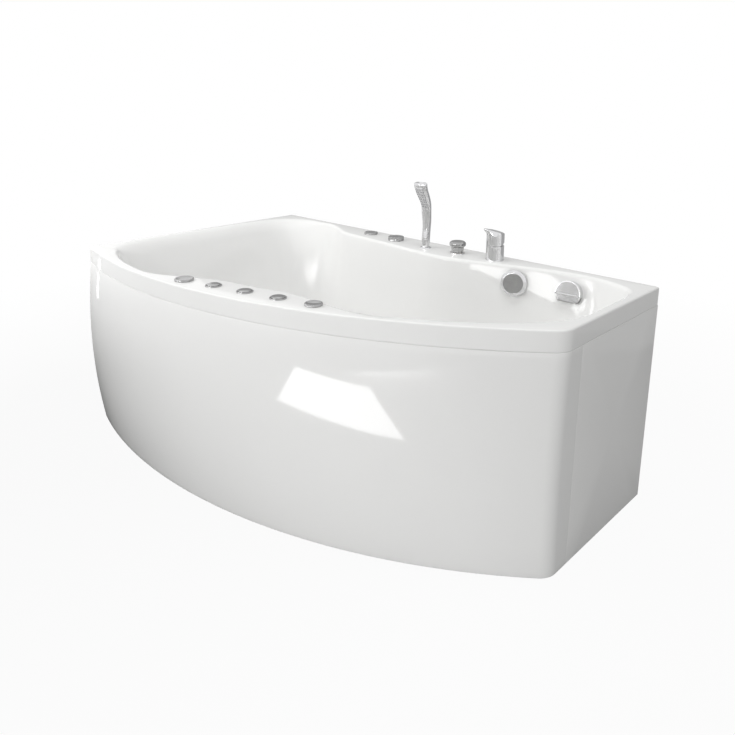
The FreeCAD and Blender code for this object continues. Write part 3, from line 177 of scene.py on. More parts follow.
class ControlSizes(bpy.types.PropertyGroup):
    """Sizes of the round controls on the rim."""

    edge: length("Edge round", 0.0008, "Rounding of the controls' edges")
    bevel: length("Bevel", 0.0014, "Bevel round a turning control")
    dish: length("Dish", 0.0026, "Depth of the dish in a turning control")
    dish_share: number("Dish width", 0.80, "Share of a turning control's radius that is dished")
    spindle: length("Spindle", 0.00505, "Radius of the bore for the spindle")
    roof: length("Roof", 0.0012, "Thickness between the dish and the bore")
    rib_depth: length("Rib depth", 0.0009, "Depth of the grip ribs")
    ribs: count("Ribs", 30, "Grip ribs round a ribbed control")
    bezel: length("Bezel", 0.0215, "Radius of a push button's bezel")
    bezel_height: length("Bezel height", 0.003, "How far the bezel stands above the rim")
    cap: length("Cap", 0.0175, "Radius of a push button's cap")
    cap_height: length("Cap height", 0.0055, "How far the cap stands above the rim")
    cap_crown: length("Cap crown", 0.0006, "How far the cap's middle rises")
    cap_skirt: length("Cap skirt", 0.0028, "Height of the cap's lower edge above the rim")
    stem: length("Stem", 0.007, "Radius of a push button's stem")
    stem_length: length("Stem length", 0.024, "How far the stem reaches down")
    barrel: length("Barrel", 0.015, "Radius of a sleeve under the rim")
    barrel_length: length("Barrel length", 0.04, "How far a sleeve reaches down")
    gap: length("Gap", 0.0004, "Free gap round the moving pieces")


class SpoutSizes(bpy.types.PropertyGroup):
    """Sizes of the overflow cap and the filler hood on the back wall."""

    cap: length("Cap", 0.038, "Radius of the overflow cap")
    cap_face: length("Cap face", 0.0300, "Radius of the overflow cap's flat face")
    cap_start: length("Cap start", 0.0030, "Gap between the wall and the overflow cap")
    cap_hollow: length("Cap hollow", 0.0053, "Height of the hollow that clears the trim ring")
    cap_hollow_radius: length("Hollow radius", 0.0335, "Radius of that hollow")
    cap_thickness: length("Cap thickness", 0.0095, "Thickness of the overflow cap")
    cap_edge: length("Cap edge", 0.0030, "Rounding of the overflow cap's edges")
    inlay: length("Inlay", 0.0012, "Depth of the satin inlays")
    inlay_gap: length("Inlay gap", 0.0003, "Gap round the satin inlays")
    shaft: length("Shaft", 0.005, "Radius of the overflow cap's shaft")
    shaft_length: length("Shaft length", 0.033, "How far the shaft reaches behind the wall")
    hood_x: length("Hood place", 0.53325, "Where the filler hood is along the back wall")
    hood_height: length("Hood height", 0.545, "Height of the filler hood's middle")
    hood: length("Hood", 0.037, "Radius of the filler hood")
    hood_proud: length("Hood depth", 0.02, "How far the hood stands out from the wall")
    hood_sink: length("Hood sink", 0.004, "How far the hood's back goes into the wall")
    hood_step: length("Hood step", 0.007, "How far the lower band is set back")
    hood_step_drop: length("Hood step drop", 0.004, "From the hood's middle down to the set-back band")
    hood_cut: length("Hood cut", 0.022, "From the hood's middle down to its lower edge")
    hood_edge: length("Hood edge", 0.0018, "Rounding of the hood's edges")
    hood_lip: length("Hood lip", 0.0045, "Height of the polished lip under the satin face")


class ShowerSizes(bpy.types.PropertyGroup):
    """Sizes of the hand shower."""

    height: length("Height", 0.2069, "Length of the handle above the socket")
    seat_gap: length("Seat gap", 0.0003, "Gap between the handle and the socket")
    width: length("Width", 0.050, "Widest part of the head")
    depth: length("Depth", 0.020, "Thickness of the handle")
    stem: length("Stem", 0.009, "Radius of the stem in the socket")
    stem_length: length("Stem length", 0.04, "How far the stem goes into the socket")
    squareness: number("Squareness", 2.6, "Squareness of the handle's section")
    rows: count("Rows", 72, "Sections up the handle")
    around: count("Around", 56, "Points round a section")
    spray_low_share: number("Spray low", 0.60, "Share of the height where the spray face starts")
    spray_high_share: number("Spray high", 0.955, "Share of the height where the spray face ends")
    spray_width_share: number("Spray width", 0.74, "Share of the head's width that the spray face takes")
    spray_proud: length("Spray proud", 0.0005, "How far the spray face stands out")
    spray_sink: length("Spray sink", 0.0015, "How far the spray face goes into the head")
    nozzle: length("Nozzle", 0.0016, "Radius of a spray nozzle")
    nozzle_rows: count("Nozzle rows", 8, "Rows of nozzles")
    nozzle_columns: count("Nozzle columns", 4, "Nozzles in a row")
    socket: length("Socket", 0.016, "Radius of the deck socket")
    socket_flare: length("Socket flare", 0.002, "How much wider the socket's foot is")
    socket_proud: length("Socket proud", 0.003, "How far the socket stands above the deck")
    socket_bore: length("Socket bore", 0.0094, "Radius of the socket's bore")
    socket_barrel: length("Socket barrel", 0.015, "Radius of the socket under the deck")
    socket_length: length("Socket length", 0.062, "How far the socket reaches down")


class TapSizes(bpy.types.PropertyGroup):
    """Sizes of the diverter knob and the mixer."""

    knob_top: length("Knob top", 0.0252, "Radius of the diverter knob's cap")
    knob_waist: length("Knob waist", 0.0205, "Radius of the knob's body under the cap")
    knob_foot: length("Knob foot", 0.0182, "Radius of the diverter knob at its foot")
    knob_flute: length("Flute depth", 0.0026, "Depth of the knob's flutes")
    knob_flutes: count("Flutes", 10, "Flutes round the knob")
    knob_dish: length("Knob dish", 0.0008, "Depth of the dish in the knob's top")
    knob_edge: length("Knob edge", 0.0018, "Rounding of the knob's edges")
    spindle: length("Spindle", 0.00505, "Radius of the knob's bore")
    spindle_top: length("Spindle top", 0.019, "Height of the bore's end in the knob")
    base: length("Base", 0.0224, "Radius of the ring under the knob")
    base_height: length("Base height", 0.0032, "Height of the ring under the knob")
    column: length("Column", 0.0264, "Radius of the mixer's column at its foot")
    column_edge: length("Column edge", 0.0003, "Rounding of the column's top edge")
    column_top: length("Column top", 0.0260, "Radius of the mixer's column at its top")
    column_height: length("Column height", 0.0437, "Height of the mixer's column")
    flange: length("Flange", 0.0272, "Radius of the flange under the column")
    flange_height: length("Flange height", 0.003, "Height of that flange")
    spigot: length("Spigot", 0.00905, "Radius of the bore for the turret")
    spigot_length: length("Spigot length", 0.027, "Depth of that bore")
    shank: length("Shank", 0.015, "Radius of the shank under the deck")
    shank_length: length("Shank length", 0.034, "How far the shank reaches down")
    ball: length("Ball", 0.0244, "Radius of the hollow for the turret's ball")
    skirt: length("Skirt", 0.0261, "Radius of the lever's lower edge")
    skirt_drop: length("Skirt drop", 0.0074, "From the ball's middle down to the lever's lower edge in front")
    skirt_slope: length("Skirt slope", 0.0104, "How much higher it is behind, which lets the lever tilt")
    lever_height: length("Lever height", 0.044, "Height of the beak's tip above the ball's middle")
    beak: length("Beak", 0.037, "How far the beak reaches from the middle")
    beak_width: length("Beak width", 0.013, "Half of the beak's width")
    beak_heading: angle("Beak heading", 235, "Level direction in which the beak points")
    beak_slope: angle("Beak slope", 14, "Slope of the lever's top")
    lever_edge: length("Lever edge", 0.0030, "Rounding of the lever's top edge")


class FinishColours(bpy.types.PropertyGroup):
    """Colours of the finishes."""

    acrylic: colour("Acrylic", (0.84, 0.84, 0.83), "White sanitary acrylic")
    chrome: colour("Chrome", (0.76, 0.76, 0.77), "Mirror chrome")
    satin: colour("Satin metal", (0.46, 0.46, 0.46), "Satin faces of the controls")
    spray: colour("Spray face", (0.62, 0.62, 0.63), "Spray face of the hand shower")
    spray_tip: colour("Spray nozzles", (0.16, 0.16, 0.17), "Rubber nozzles in the spray face")
    steel: colour("Frame steel", (0.62, 0.63, 0.65), "Powder coat of the frame")
    zinc: colour("Zinc", (0.60, 0.61, 0.62), "Zinc of the levelling feet")
    rubber: colour("Rubber", (0.025, 0.025, 0.026), "Rubber of the pads")
    brass: colour("Brass", (0.60, 0.43, 0.18), "Brass under the deck")
    pipe: colour("Pipe", (0.74, 0.74, 0.72), "White pipes")
    nozzle: colour("Nozzle", (0.72, 0.72, 0.72), "Ball nozzles of the jets")
    pump: colour("Pump", (0.03, 0.03, 0.033), "Black moulded pump")
    motor: colour("Motor", (0.48, 0.49, 0.50), "Cast motor")
    board: colour("Board", (0.52, 0.38, 0.22), "Board under the basin")
    screen: colour("Screen", (0.46, 0.46, 0.46), "Grey screens of the studio")


class StageSizes(bpy.types.PropertyGroup):
    """Sizes of the studio and the camera."""

    camera: location("Camera", (1.368, -1.2115, 1.0695), "Where the camera stands")
    heading: angle("Heading", -45.18, "Level direction that the camera looks in, from the back")
    pitch: angle("Pitch", 13.54, "How far the camera looks down")
    lens: number("Lens", 32.24, "Focal length in millimetres")
    shift: number("Shift", -0.152, "Upright shift of the picture")
    floor_half: length("Half floor", 30.0, "Half of the floor's side")
    floor_near: length("Near floor", 1.2, "Distance from the middle up to which the floor keeps its shadow")
    floor_far: length("Far floor", 2.6, "Distance from the middle where the floor is plain white")
    floor_white_share: number("White share", 0.95, "Share of white that the camera sees of the near floor")
    # Painted shade: the floor's colour is darkened round a spot at its front left, beside the tub, so that it
    # gives back little light onto the lower front panel and shows dark in its gloss
    painted_shade_middle: location("Painted shade spot", (-0.8, -0.5, 0.0), "Middle of the dim part of the floor")
    painted_shade_near: length("Near painted shade", 0.4, "Distance from that spot up to which the floor is dim")
    painted_shade_far: length("Far painted shade", 1.5, "Distance from that spot where the floor gives back its full light")
    painted_shade_share: number("Painted shade share", 0.02, "Share of light that the dim floor gives back")
    bounce_high_share: number("High bounce", 0.42, "Share of light that the rest of the floor gives back")
    mirror_near: length("Near mirrored floor", 2.2, "Distance up to which reflections show the lit floor")
    mirror_far: length("Far mirrored floor", 3.8, "Distance from which reflections show plain white")
    mirror_white_share: number("Mirrored share", 0.0, "Share of white in reflections of the near floor")
    sky: number("Sky", 0.56, "Strength of the soft light from all round")
    sky_slope: number("Sky slope", 0.12, "How much stronger the light is from the front")
    card_glow: number("Card glow", 6.6, "Strength of the light cards that show as reflections")


# Mesh helpers


SHARP_DEGREES = 38
WELD = 1e-6
TURN_STEPS = 96
FAN_SHARES = (0.75, 0.5, 0.25)
HALF_SHARE = 0.5


def blend(start, end, share):
    return start + (end - start) * share


def clamp(share):
    return min(max(share, 0.0), 1.0)


def ease(share):
    """Smooth step from 0 to 1."""
    held = clamp(share)
    return held * held * (3 - 2 * held)


def mean(points):
    """Middle of a list of points."""
    return sum(points, Vector()) / len(points)


def quarter_turns(steps):
    """Angles from 0 to a right angle."""
    return [math.pi / 2 * step / steps for step in range(steps + 1)]


def solid_mesh(name, vertices, faces):
    """A mesh with joined points and outward normals."""
    mesh = bpy.data.meshes.new(name)
    mesh.from_pydata([tuple(vertex) for vertex in vertices], [], faces)
    shape = bmesh.new()
    shape.from_mesh(mesh)
    bmesh.ops.remove_doubles(shape, verts=shape.verts, dist=WELD)
    bmesh.ops.recalc_face_normals(shape, faces=shape.faces)
    shape.to_mesh(mesh)
    shape.free()
    return mesh


def smooth(mesh):
    """Smooth shading that keeps the hard edges."""
    mesh.shade_smooth()
    mesh.set_sharp_from_angle(angle=math.radians(SHARP_DEGREES))


def add_piece(name, shape, material, body, slot, *nodes):
    """A piece from (vertices, faces) that rides on a body and stands for its CAD nodes."""
    mesh = solid_mesh(name, *shape)
    smooth(mesh)
    mesh.materials.append(material)
    piece = bpy.data.objects.new(name, mesh)
    bpy.context.scene.collection.objects.link(piece)
    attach(piece, body)
    if nodes:
        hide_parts(*nodes)
    return piece


def merged(parts):
    """One list of vertices and of faces from several meshes."""
    vertices, faces = [], []
    for part_vertices, part_faces in parts:
        first = len(vertices)
        vertices.extend(part_vertices)
        faces.extend(tuple(first + index for index in face) for face in part_faces)
    return vertices, faces


def rounded(corners, steps=5):
    """Profile points through corners (radius, height, rounding)."""
    points = []
    for index, (radius, height, size) in enumerate(corners):
        here = Vector((radius, height))
        if not size:
            points.append(here)
            continue
        before = Vector(corners[index - 1][:2]) - here
        after = Vector(corners[index + 1][:2]) - here
        reach = min(size, before.length / 2, after.length / 2)
        start = here + before.normalized() * reach
        end = here + after.normalized() * reach
        for step in range(steps + 1):
            share = step / steps
            points.append(start.lerp(here, share).lerp(here.lerp(end, share), share))
    return points


def upright(spot):
    return Matrix.Translation(spot)


def facing(spot, axis):
    """Place of a piece whose own height runs along an axis and whose own Y is as upright as it can be."""
    forward = Vector(axis).normalized()
    level = UP.cross(forward).normalized()
    turn = Matrix((level, forward.cross(level), forward)).transposed().to_4x4()
    return Matrix.Translation(spot) @ turn


def turned(profile, place, steps=TURN_STEPS, shape=None):
    """Mesh turned from profile points, from the axis or round a ring; shape changes a radius by its angle."""
    loops = []
    for radius, height in profile:
        loop = []
        for step in range(steps):
            heading = 2 * math.pi * step / steps
            reach = shape(radius, height, heading) if shape else radius
            loop.append(place @ Vector((reach * math.cos(heading), reach * math.sin(heading), height)))
        loops.append(loop)
    tips = []
    for end in (0, -1):
        radius, height = profile[end]
        tips.append(place @ Vector((0, 0, height)) if radius < TINY else None)
    if tips[0] is None:
        return skinned(loops + loops[:1], True, None, None)
    return skinned(loops[1:-1], True, *tips)


def record_joint(name):
    """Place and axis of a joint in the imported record."""
    for joint in frame["record"]["behaviour"]["joints"]:
        if joint["name"] == name:
            return Vector(joint.get("pos_m", (0, 0, 0))), Vector(joint["axis"])
    raise KeyError(name)


def middle_of(node):
    """Middle of a node's box in plan, at its lowest height, and the box."""
    low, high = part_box(node)
    return Vector(((low.x + high.x) / 2, (low.y + high.y) / 2, low.z)), low, high


def deck_spot(node):
    """Middle of a node in plan, at the height of the rim."""
    spot, _, _ = middle_of(node)
    spot.z = bpy.context.scene.bath_tub.rim_height
    return spot


def skinned(loops, closed_across, start_fan, end_fan):
    """Vertices and faces between loops of the same number of points, with fans where an end closes."""
    vertices = [point for loop in loops for point in loop]
    columns = len(loops[0])
    faces = []
    spans = columns if closed_across else columns - 1
    for row in range(len(loops) - 1):
        for column in range(spans):
            after = (column + 1) % columns
            low = row * columns
            high = low + columns
            faces.append((low + column, low + after, high + after, high + column))
    for wanted, row, turn in ((start_fan, 0, -1), (end_fan, len(loops) - 1, 1)):
        if wanted is None:
            continue
        tip = len(vertices)
        vertices.append(wanted)
        for column in range(spans):
            after = (column + 1) % columns
            pair = (row * columns + column, row * columns + after)
            faces.append((*pair[::turn], tip))
    return vertices, faces


# Plan of the tub


CORNER_STEPS = 24
FRONT_STEPS = 240


def front_line(tub, x, inset):
    """Y of the front edge at x, moved in from the edge of the rim."""
    center = tub.back - tub.rim_depth + tub.front_radius
    return center - math.sqrt((tub.front_radius - inset) ** 2 - (x - tub.apex_x) ** 2)


def circle_through(first, second, third):
    """Centre and radius of the circle through three plan points."""
    ax, ay = second[0] - first[0], second[1] - first[1]
    bx, by = third[0] - first[0], third[1] - first[1]
    turn = 2 * (ax * by - ay * bx)
    x = (by * (ax * ax + ay * ay) - ay * (bx * bx + by * by)) / turn
    y = (ax * (bx * bx + by * by) - bx * (ax * ax + ay * ay)) / turn
    return Vector((first[0] + x, first[1] + y)), math.hypot(x, y)


def front_arcs(tub, bow, corner_bow_share):
    """Front of the skirt as arcs (centre, radius, start, end) by the direction of their outward normal."""
    left = (-tub.half_length, front_line(tub, -tub.half_length, 0) - bow)
    apex = (tub.apex_x, tub.back - tub.rim_depth - bow)
    right = (tub.half_length, front_line(tub, tub.half_length, 0) - bow * corner_bow_share)
    center, radius = circle_through(left, apex, right)
    corners = []
    for x, turn in ((tub.left_corner - tub.half_length, tub.left_corner),
                    (tub.half_length - tub.right_corner, tub.right_corner)):
        y = center.y - math.sqrt((radius - turn) ** 2 - (x - center.x) ** 2)
        heading = math.atan2(y - center.y, x - center.x) + 2 * math.pi
        corners.append((Vector((x, y)), turn, heading))
    (left_heart, left_turn, left_heading), (right_heart, right_turn, right_heading) = corners
    return [(left_heart, left_turn, math.pi, left_heading),
            (center, radius, left_heading, right_heading),
            (right_heart, right_turn, right_heading, 2 * math.pi)]


def arc_points(arc, start_share, end_share, steps):
    """Fine (point, outward normal) pairs along a share of an arc."""
    heart, radius, start, end = arc
    pairs = []
    for step in range(steps + 1):
        way = blend(start, end, blend(start_share, end_share, step / steps))
        normal = Vector((math.cos(way), math.sin(way)))
        pairs.append((heart + normal * radius, normal))
    return pairs


def run_lengths(pairs):
    """Lengths along a fine line up to each of its points."""
    runs = [0.0]
    for (start, _), (end, _) in zip(pairs, pairs[1:]):
        runs.append(runs[-1] + (end - start).length)
    return runs


def span_at(marks, wanted):
    """Span of rising marks that holds a value, and the value's share of that span."""
    index = min(max(bisect_left(marks, wanted) - 1, 0), len(marks) - 2)
    return index, (wanted - marks[index]) / max(marks[index + 1] - marks[index], TINY)


def resampled(pairs, shares):
    """Points and normals at shares of the length of a fine line."""
    runs = run_lengths(pairs)
    stations = []
    for share in shares:
        index, part = span_at(runs, runs[-1] * share)
        (start, first), (end, second) = pairs[index], pairs[index + 1]
        stations.append((start.lerp(end, part), first.lerp(second, part).normalized()))
    return stations


def spread(step, steps):
    """Share of a side that crowds points towards its corners."""
    even = step / steps
    return (even + (1 - math.cos(math.pi * even)) / 2) / 2


def rim_stations(tub):
    """Points and outward normals round the rim: right-hand end, back, left-hand end, front."""
    left_arc, front_arc, right_arc = front_arcs(tub, 0, 0)
    near = tub.wall_corner
    back_right = (Vector((tub.half_length - near, tub.back - near)), near, 0, math.pi / 2)
    back_left = (Vector((near - tub.half_length, tub.back - near)), near, math.pi / 2, math.pi)
    sides = [[(right_arc, HALF_SHARE, 1), (back_right, 0, HALF_SHARE)],
             [(back_right, HALF_SHARE, 1), (back_left, 0, HALF_SHARE)],
             [(back_left, HALF_SHARE, 1), (left_arc, 0, HALF_SHARE)],
             [(left_arc, HALF_SHARE, 1), (front_arc, 0, 1), (right_arc, 0, HALF_SHARE)]]
    quarter = tub.columns // 4
    stations = []
    for side in sides:
        pairs = []
        for arc, start_share, end_share in side:
            steps = FRONT_STEPS if arc is front_arc else CORNER_STEPS
            pairs.extend(arc_points(arc, start_share, end_share, steps))
        stations.extend(resampled(pairs, [spread(step, quarter) for step in range(quarter)]))
    return stations


def edge_values(tub, end, wall, front):
    """A size at each station of the rim's edge, from its values at the closed end, walls and front."""
    quarter = tub.columns // 4
    corner_share = 0.12
    corners = (blend(front, end, HALF_SHARE), wall, wall, wall)
    values = []
    for side, value in enumerate((end, wall, wall, front)):
        before, after = corners[side], corners[(side + 1) % len(corners)]
        for step in range(quarter):
            share = step / quarter
            if share < HALF_SHARE:
                values.append(blend(before, value, ease(share / corner_share)))
            else:
                values.append(blend(after, value, ease((1 - share) / corner_share)))
    return values


def back_rim(tub, x):
    """Width of the back rim at x: a deck that swells between narrow ends."""
    start_share, full_share, peak_share, end_share = -0.66, -0.38, 0.14, 0.82
    share = x / tub.half_length
    rise = ease((share - start_share) / (full_share - start_share))
    growth = clamp((share - full_share) / (peak_share - full_share))
    fall = ease((end_share - share) / (end_share - peak_share))
    return blend(tub.end_rim, blend(tub.back_shelf_left, tub.back_shelf_right, growth), rise * fall)


def front_rim(tub, x):
    """Width of the front rim at x: a shelf for the controls between narrow ends."""
    start_share, full_share, fade_share, end_share = -0.45, -0.08, 0.12, 0.55
    share = x / tub.half_length
    rise = ease((share - start_share) / (full_share - start_share))
    fall = ease((end_share - share) / (end_share - fade_share))
    return blend(tub.front_end_rim, tub.front_shelf, rise * fall)


def lean(tub, sink, straight_share):
    """How far a wall has come in at a share of the depth: straight, then rounding into the floor."""
    rounding = 1 - (1 - clamp(sink) ** tub.floor_power) ** (1 / tub.floor_power)
    return straight_share * sink + (1 - straight_share) * rounding


def basin_heading(tub, index, squareness):
    """Shares along and across the basin of a column of points."""
    quarter = tub.columns // 4
    reach_share = HALF_SHARE ** (1 / squareness)
    swing = reach_share * (2 * spread(index % quarter, quarter) - 1)
    rest = (1 - abs(swing) ** squareness) ** (1 / squareness)
    return ((rest, swing), (-swing, rest), (-rest, -swing), (swing, -rest))[index // quarter]


def roll_shares(tub):
    """How far each column belongs to the softly rolled left-hand end."""
    full_share, back_share, front_share = 0.93, 0.70, 0.85
    shares = []
    for index in range(tub.columns):
        along, across = basin_heading(tub, index, tub.rim_squareness)
        start = back_share if across > 0 else front_share
        shares.append(ease((-along - start) / (full_share - start)))
    return shares


def basin_loop(tub, sinks, rolls, outs, drop):
    """Outline of the basin at each column's share of the depth, grown outward and lowered."""
    fade_share, gone_share = 0.09, 0.6
    depth = tub.rim_height - tub.floor
    points = []
    for index, (sink, roll) in enumerate(zip(sinks, rolls)):
        side = lean(tub, sink, tub.side_lean_share)
        shift = tub.backrest_shift * roll * (1 - ease((sink - fade_share) / (gone_share - fade_share)))
        run = tub.backrest_run * lean(tub, sink, tub.backrest_lean_share)
        left = tub.end_rim - tub.half_length + run + shift
        right = tub.half_length - tub.end_rim - tub.foot_run * side
        squareness = blend(tub.rim_squareness, tub.floor_squareness, clamp(sink))
        along, across = basin_heading(tub, index, squareness)
        x = blend(left, right, (1 + along) / 2)
        back = tub.back - blend(back_rim(tub, x), tub.floor_back, side)
        front = front_line(tub, x, blend(front_rim(tub, x), tub.floor_front, side))
        y = blend(front, back, (1 + across) / 2)
        points.append(Vector((x, y, tub.rim_height - drop - sink * depth)))
    return grown(points, outs)


def grown(points, distances):
    """The points of a closed outline, each moved outward in its plan."""
    moved = []
    for index, point in enumerate(points):
        tangent = points[(index + 1) % len(points)] - points[index - 1]
        moved.append(point + tangent.cross(UP).normalized() * distances[index])
    return moved


def basin_loops(tub, grow, drop):
    """Loops from the rim down to the floor, with the rounded edge first where the inside is made."""
    loops = []
    depth = tub.rim_height - tub.floor
    rolls = roll_shares(tub)
    rounds = [blend(tub.basin_round, tub.backrest_round, roll) for roll in rolls]
    if not drop:
        for turn in quarter_turns(tub.round_steps)[:-1]:
            sinks = [size * (1 - math.cos(turn)) / depth for size in rounds]
            outs = [size * (1 - math.sin(turn)) for size in rounds]
            loops.append(basin_loop(tub, sinks, rolls, outs, 0))
    grows = [grow] * tub.columns
    first_turns = [math.asin((size / depth) ** (tub.floor_power / 2)) for size in rounds]
    for row in range(tub.rows + 1):
        turns = [blend(first, math.pi / 2, row / tub.rows) for first in first_turns]
        sinks = [math.sin(turn) ** (2 / tub.floor_power) for turn in turns]
        loops.append(basin_loop(tub, sinks, rolls, grows, drop))
    edge = loops[-1]
    heart = mean(edge)
    loops.extend([heart.lerp(point, share) for point in edge] for share in FAN_SHARES)
    return loops, heart


def lifted(stations, insets, heights):
    """One loop of the rim: stations moved in and set at heights."""
    return [Vector((*(point - normal * inset), height))
            for (point, normal), inset, height in zip(stations, insets, heights)]


def rim_loops(tub):
    """Loops from under the deck, round the apron's lower edge and up to the flat rim."""
    stations = rim_stations(tub)
    rounds = edge_values(tub, tub.end_round, tub.wall_round, tub.front_round)
    leans = edge_values(tub, 0, 0, tub.apron_lean)
    low = tub.rim_height - tub.apron
    plain = [(tub.wall, tub.rim_height - tub.wall), (tub.wall, low), (tub.apron_lip, low),
             (0, low + tub.apron_lip)]
    loops = []
    for inset, height in plain:
        loops.append(lifted(stations, [inset] * len(stations), [height] * len(stations)))
    for turn in quarter_turns(tub.round_steps):
        insets = [start + size * (1 - math.cos(turn)) for start, size in zip(leans, rounds)]
        heights = [tub.rim_height - size * (1 - math.sin(turn)) for size in rounds]
        loops.append(lifted(stations, insets, heights))
    return loops


# Tub shell and its holes


CUTTER_STEPS = 24
JETS = tuple(f"jet_{row}_{place}" for row in ("front", "back") for place in ("left", "middle", "right"))
DECK_FITTINGS = ("front_turner_left", "button_left", "button_middle", "button_right", "front_turner_right",
                 "back_turner_left", "back_turner_right", "shower_socket", "diverter_knob", "mixer_body")


def make_tub_shell():
    """Tub with its basin, rim and apron, in one skin of even thickness with holes for the fittings."""
    tub = bpy.context.scene.bath_tub
    inside, heart = basin_loops(tub, 0, 0)
    outside, under = basin_loops(tub, tub.wall, tub.wall)
    skin = skinned(outside[::-1] + rim_loops(tub) + inside, True, under, heart)
    shell = add_piece("tub_shell_acrylic", skin, acrylic_material(), "tub", "acrylic", "tub_shell")
    cut_holes(shell, merged(shell_cutters(tub)))


def ball(spot, radius):
    """Closed ball that cuts a hole in a wall."""
    turns = [math.pi * step / CUTTER_STEPS for step in range(CUTTER_STEPS + 1)]
    profile = [Vector((radius * math.sin(turn), -radius * math.cos(turn))) for turn in turns]
    profile[0].x = profile[-1].x = 0
    return turned(profile, upright(spot), steps=CUTTER_STEPS * 2)


def rod(spot, radius, reach):
    """Closed upright rod that cuts a hole in the deck or the floor."""
    ends = ((0, -reach), (radius, -reach), (radius, reach), (0, reach))
    return turned([Vector(end) for end in ends], upright(spot), steps=CUTTER_STEPS * 2)


def shell_cutters(tub):
    """Balls and rods where the fittings go through the walls, the deck and the floor."""
    spouts = bpy.context.scene.bath_spouts
    low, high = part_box("suction_grille")
    waste, _, _ = middle_of("waste_flange")
    waste.z = tub.floor
    cutters = [ball(record_joint(node + "_swivel")[0], tub.jet_hole) for node in JETS]
    cutters.append(ball(record_joint("overflow_turn")[0], tub.overflow_hole))
    cutters.append(ball(wall_point(tub, spouts.hood_x, spouts.hood_height), tub.filler_hole))
    cutters.append(ball((low + high) / 2, tub.suction_hole))
    cutters.extend(rod(deck_spot(node), tub.deck_hole, tub.hole_reach) for node in DECK_FITTINGS)
    cutters.append(rod(waste, tub.waste_hole, tub.hole_reach))
    return cutters


def cut_holes(piece, cutters):
    """Takes the cutters away from a piece's mesh."""
    mesh = solid_mesh("cutters", *cutters)
    cutter = bpy.data.objects.new("cutters", mesh)
    bpy.context.scene.collection.objects.link(cutter)
    cut = piece.modifiers.new("holes", "BOOLEAN")
    cut.operation = "DIFFERENCE"
    cut.solver = "EXACT"
    cut.object = cutter
    whole = piece.data
    holed = bpy.data.meshes.new_from_object(piece.evaluated_get(bpy.context.evaluated_depsgraph_get()))
    if len(holed.polygons) <= len(whole.polygons):
        raise RuntimeError("the holes were not cut")
    piece.modifiers.clear()
    piece.data = holed
    smooth(holed)
    bpy.data.objects.remove(cutter)
    bpy.data.meshes.remove(mesh)
    bpy.data.meshes.remove(whole)


# Panels


TURN_WEIGHT = 0.35
PANEL_EDGE_STEPS = 4


def skirt_stations(tub, panel, bow):
    """Points and normals of the front panel at a height, from its wall return round to its seam."""
    left_arc, front_arc, right_arc = front_arcs(tub, bow, panel.corner_bow_share)
    start = (left_arc[0] + Vector((-tub.left_corner, panel.wall_return)), Vector((-1, 0)))
    end = (Vector((tub.half_length, panel.seam_y)), Vector((1, 0)))
    pairs = [start]
    for arc, steps in ((left_arc, CORNER_STEPS), (front_arc, FRONT_STEPS), (right_arc, CORNER_STEPS)):
        pairs.extend(arc_points(arc, 0, 1, steps))
    pairs.append(end)
    return resampled(pairs, station_shares(pairs, panel.columns))


def station_shares(pairs, columns):
    """Shares of a line's length, crowded where its normal turns."""
    runs = run_lengths(pairs)
    weights = [0.0]
    for index, ((_, first), (_, second)) in enumerate(zip(pairs, pairs[1:])):
        turning = math.acos(clamp(first.dot(second)))
        weights.append(weights[-1] + runs[index + 1] - runs[index] + turning * TURN_WEIGHT)
    shares = []
    for column in range(columns):
        index, part = span_at(weights, weights[-1] * column / (columns - 1))
        shares.append(blend(runs[index], runs[index + 1], clamp(part)) / runs[-1])
    return shares


def panel_profile(panel):
    """Closed (inset, height) profile of the front panel: outside up, over the flange, inside down."""
    edge = panel.edge
    low = panel.bottom + edge
    high = panel.top - edge
    under = panel.top - panel.thickness
    reach = panel.thickness + panel.flange
    row_shares = [row / panel.rows for row in range(panel.rows + 1)]
    turns = quarter_turns(PANEL_EDGE_STEPS)
    profile = [(edge * (1 - math.sin(turn)), low - edge * math.cos(turn)) for turn in turns[:-1]]
    profile.extend((0, blend(low, high, share)) for share in row_shares)
    profile.extend((edge * (1 - math.cos(turn)), high + edge * math.sin(turn)) for turn in turns[1:])
    profile.extend([(reach, panel.top), (reach, under)])
    profile.extend((panel.thickness, blend(under, panel.bottom, share)) for share in row_shares)
    return profile


def swell(share):
    """1 at half of a height, falling to 0 at both ends."""
    return 4 * share * (1 - share)


def make_front_panel():
    """Bowed panel with folded edges, which swells most at half its height."""
    tub = bpy.context.scene.bath_tub
    panel = bpy.context.scene.bath_panels
    loops = []
    for inset, height in panel_profile(panel):
        share = (height - panel.bottom) / (panel.top - panel.bottom)
        stations = skirt_stations(tub, panel, panel.bow * swell(share))
        loops.append(lifted(stations, [inset] * len(stations), [height] * len(stations)))
    loops.append(loops[0])
    vertices, faces = skinned(loops, False, None, None)
    columns = len(loops[0])
    rows = len(loops) - 1
    faces.append(tuple(row * columns for row in range(rows)))
    faces.append(tuple(row * columns + columns - 1 for row in range(rows))[::-1])
    add_piece("front_panel_acrylic", (vertices, faces), acrylic_material(), "tub", "acrylic", "front_panel")


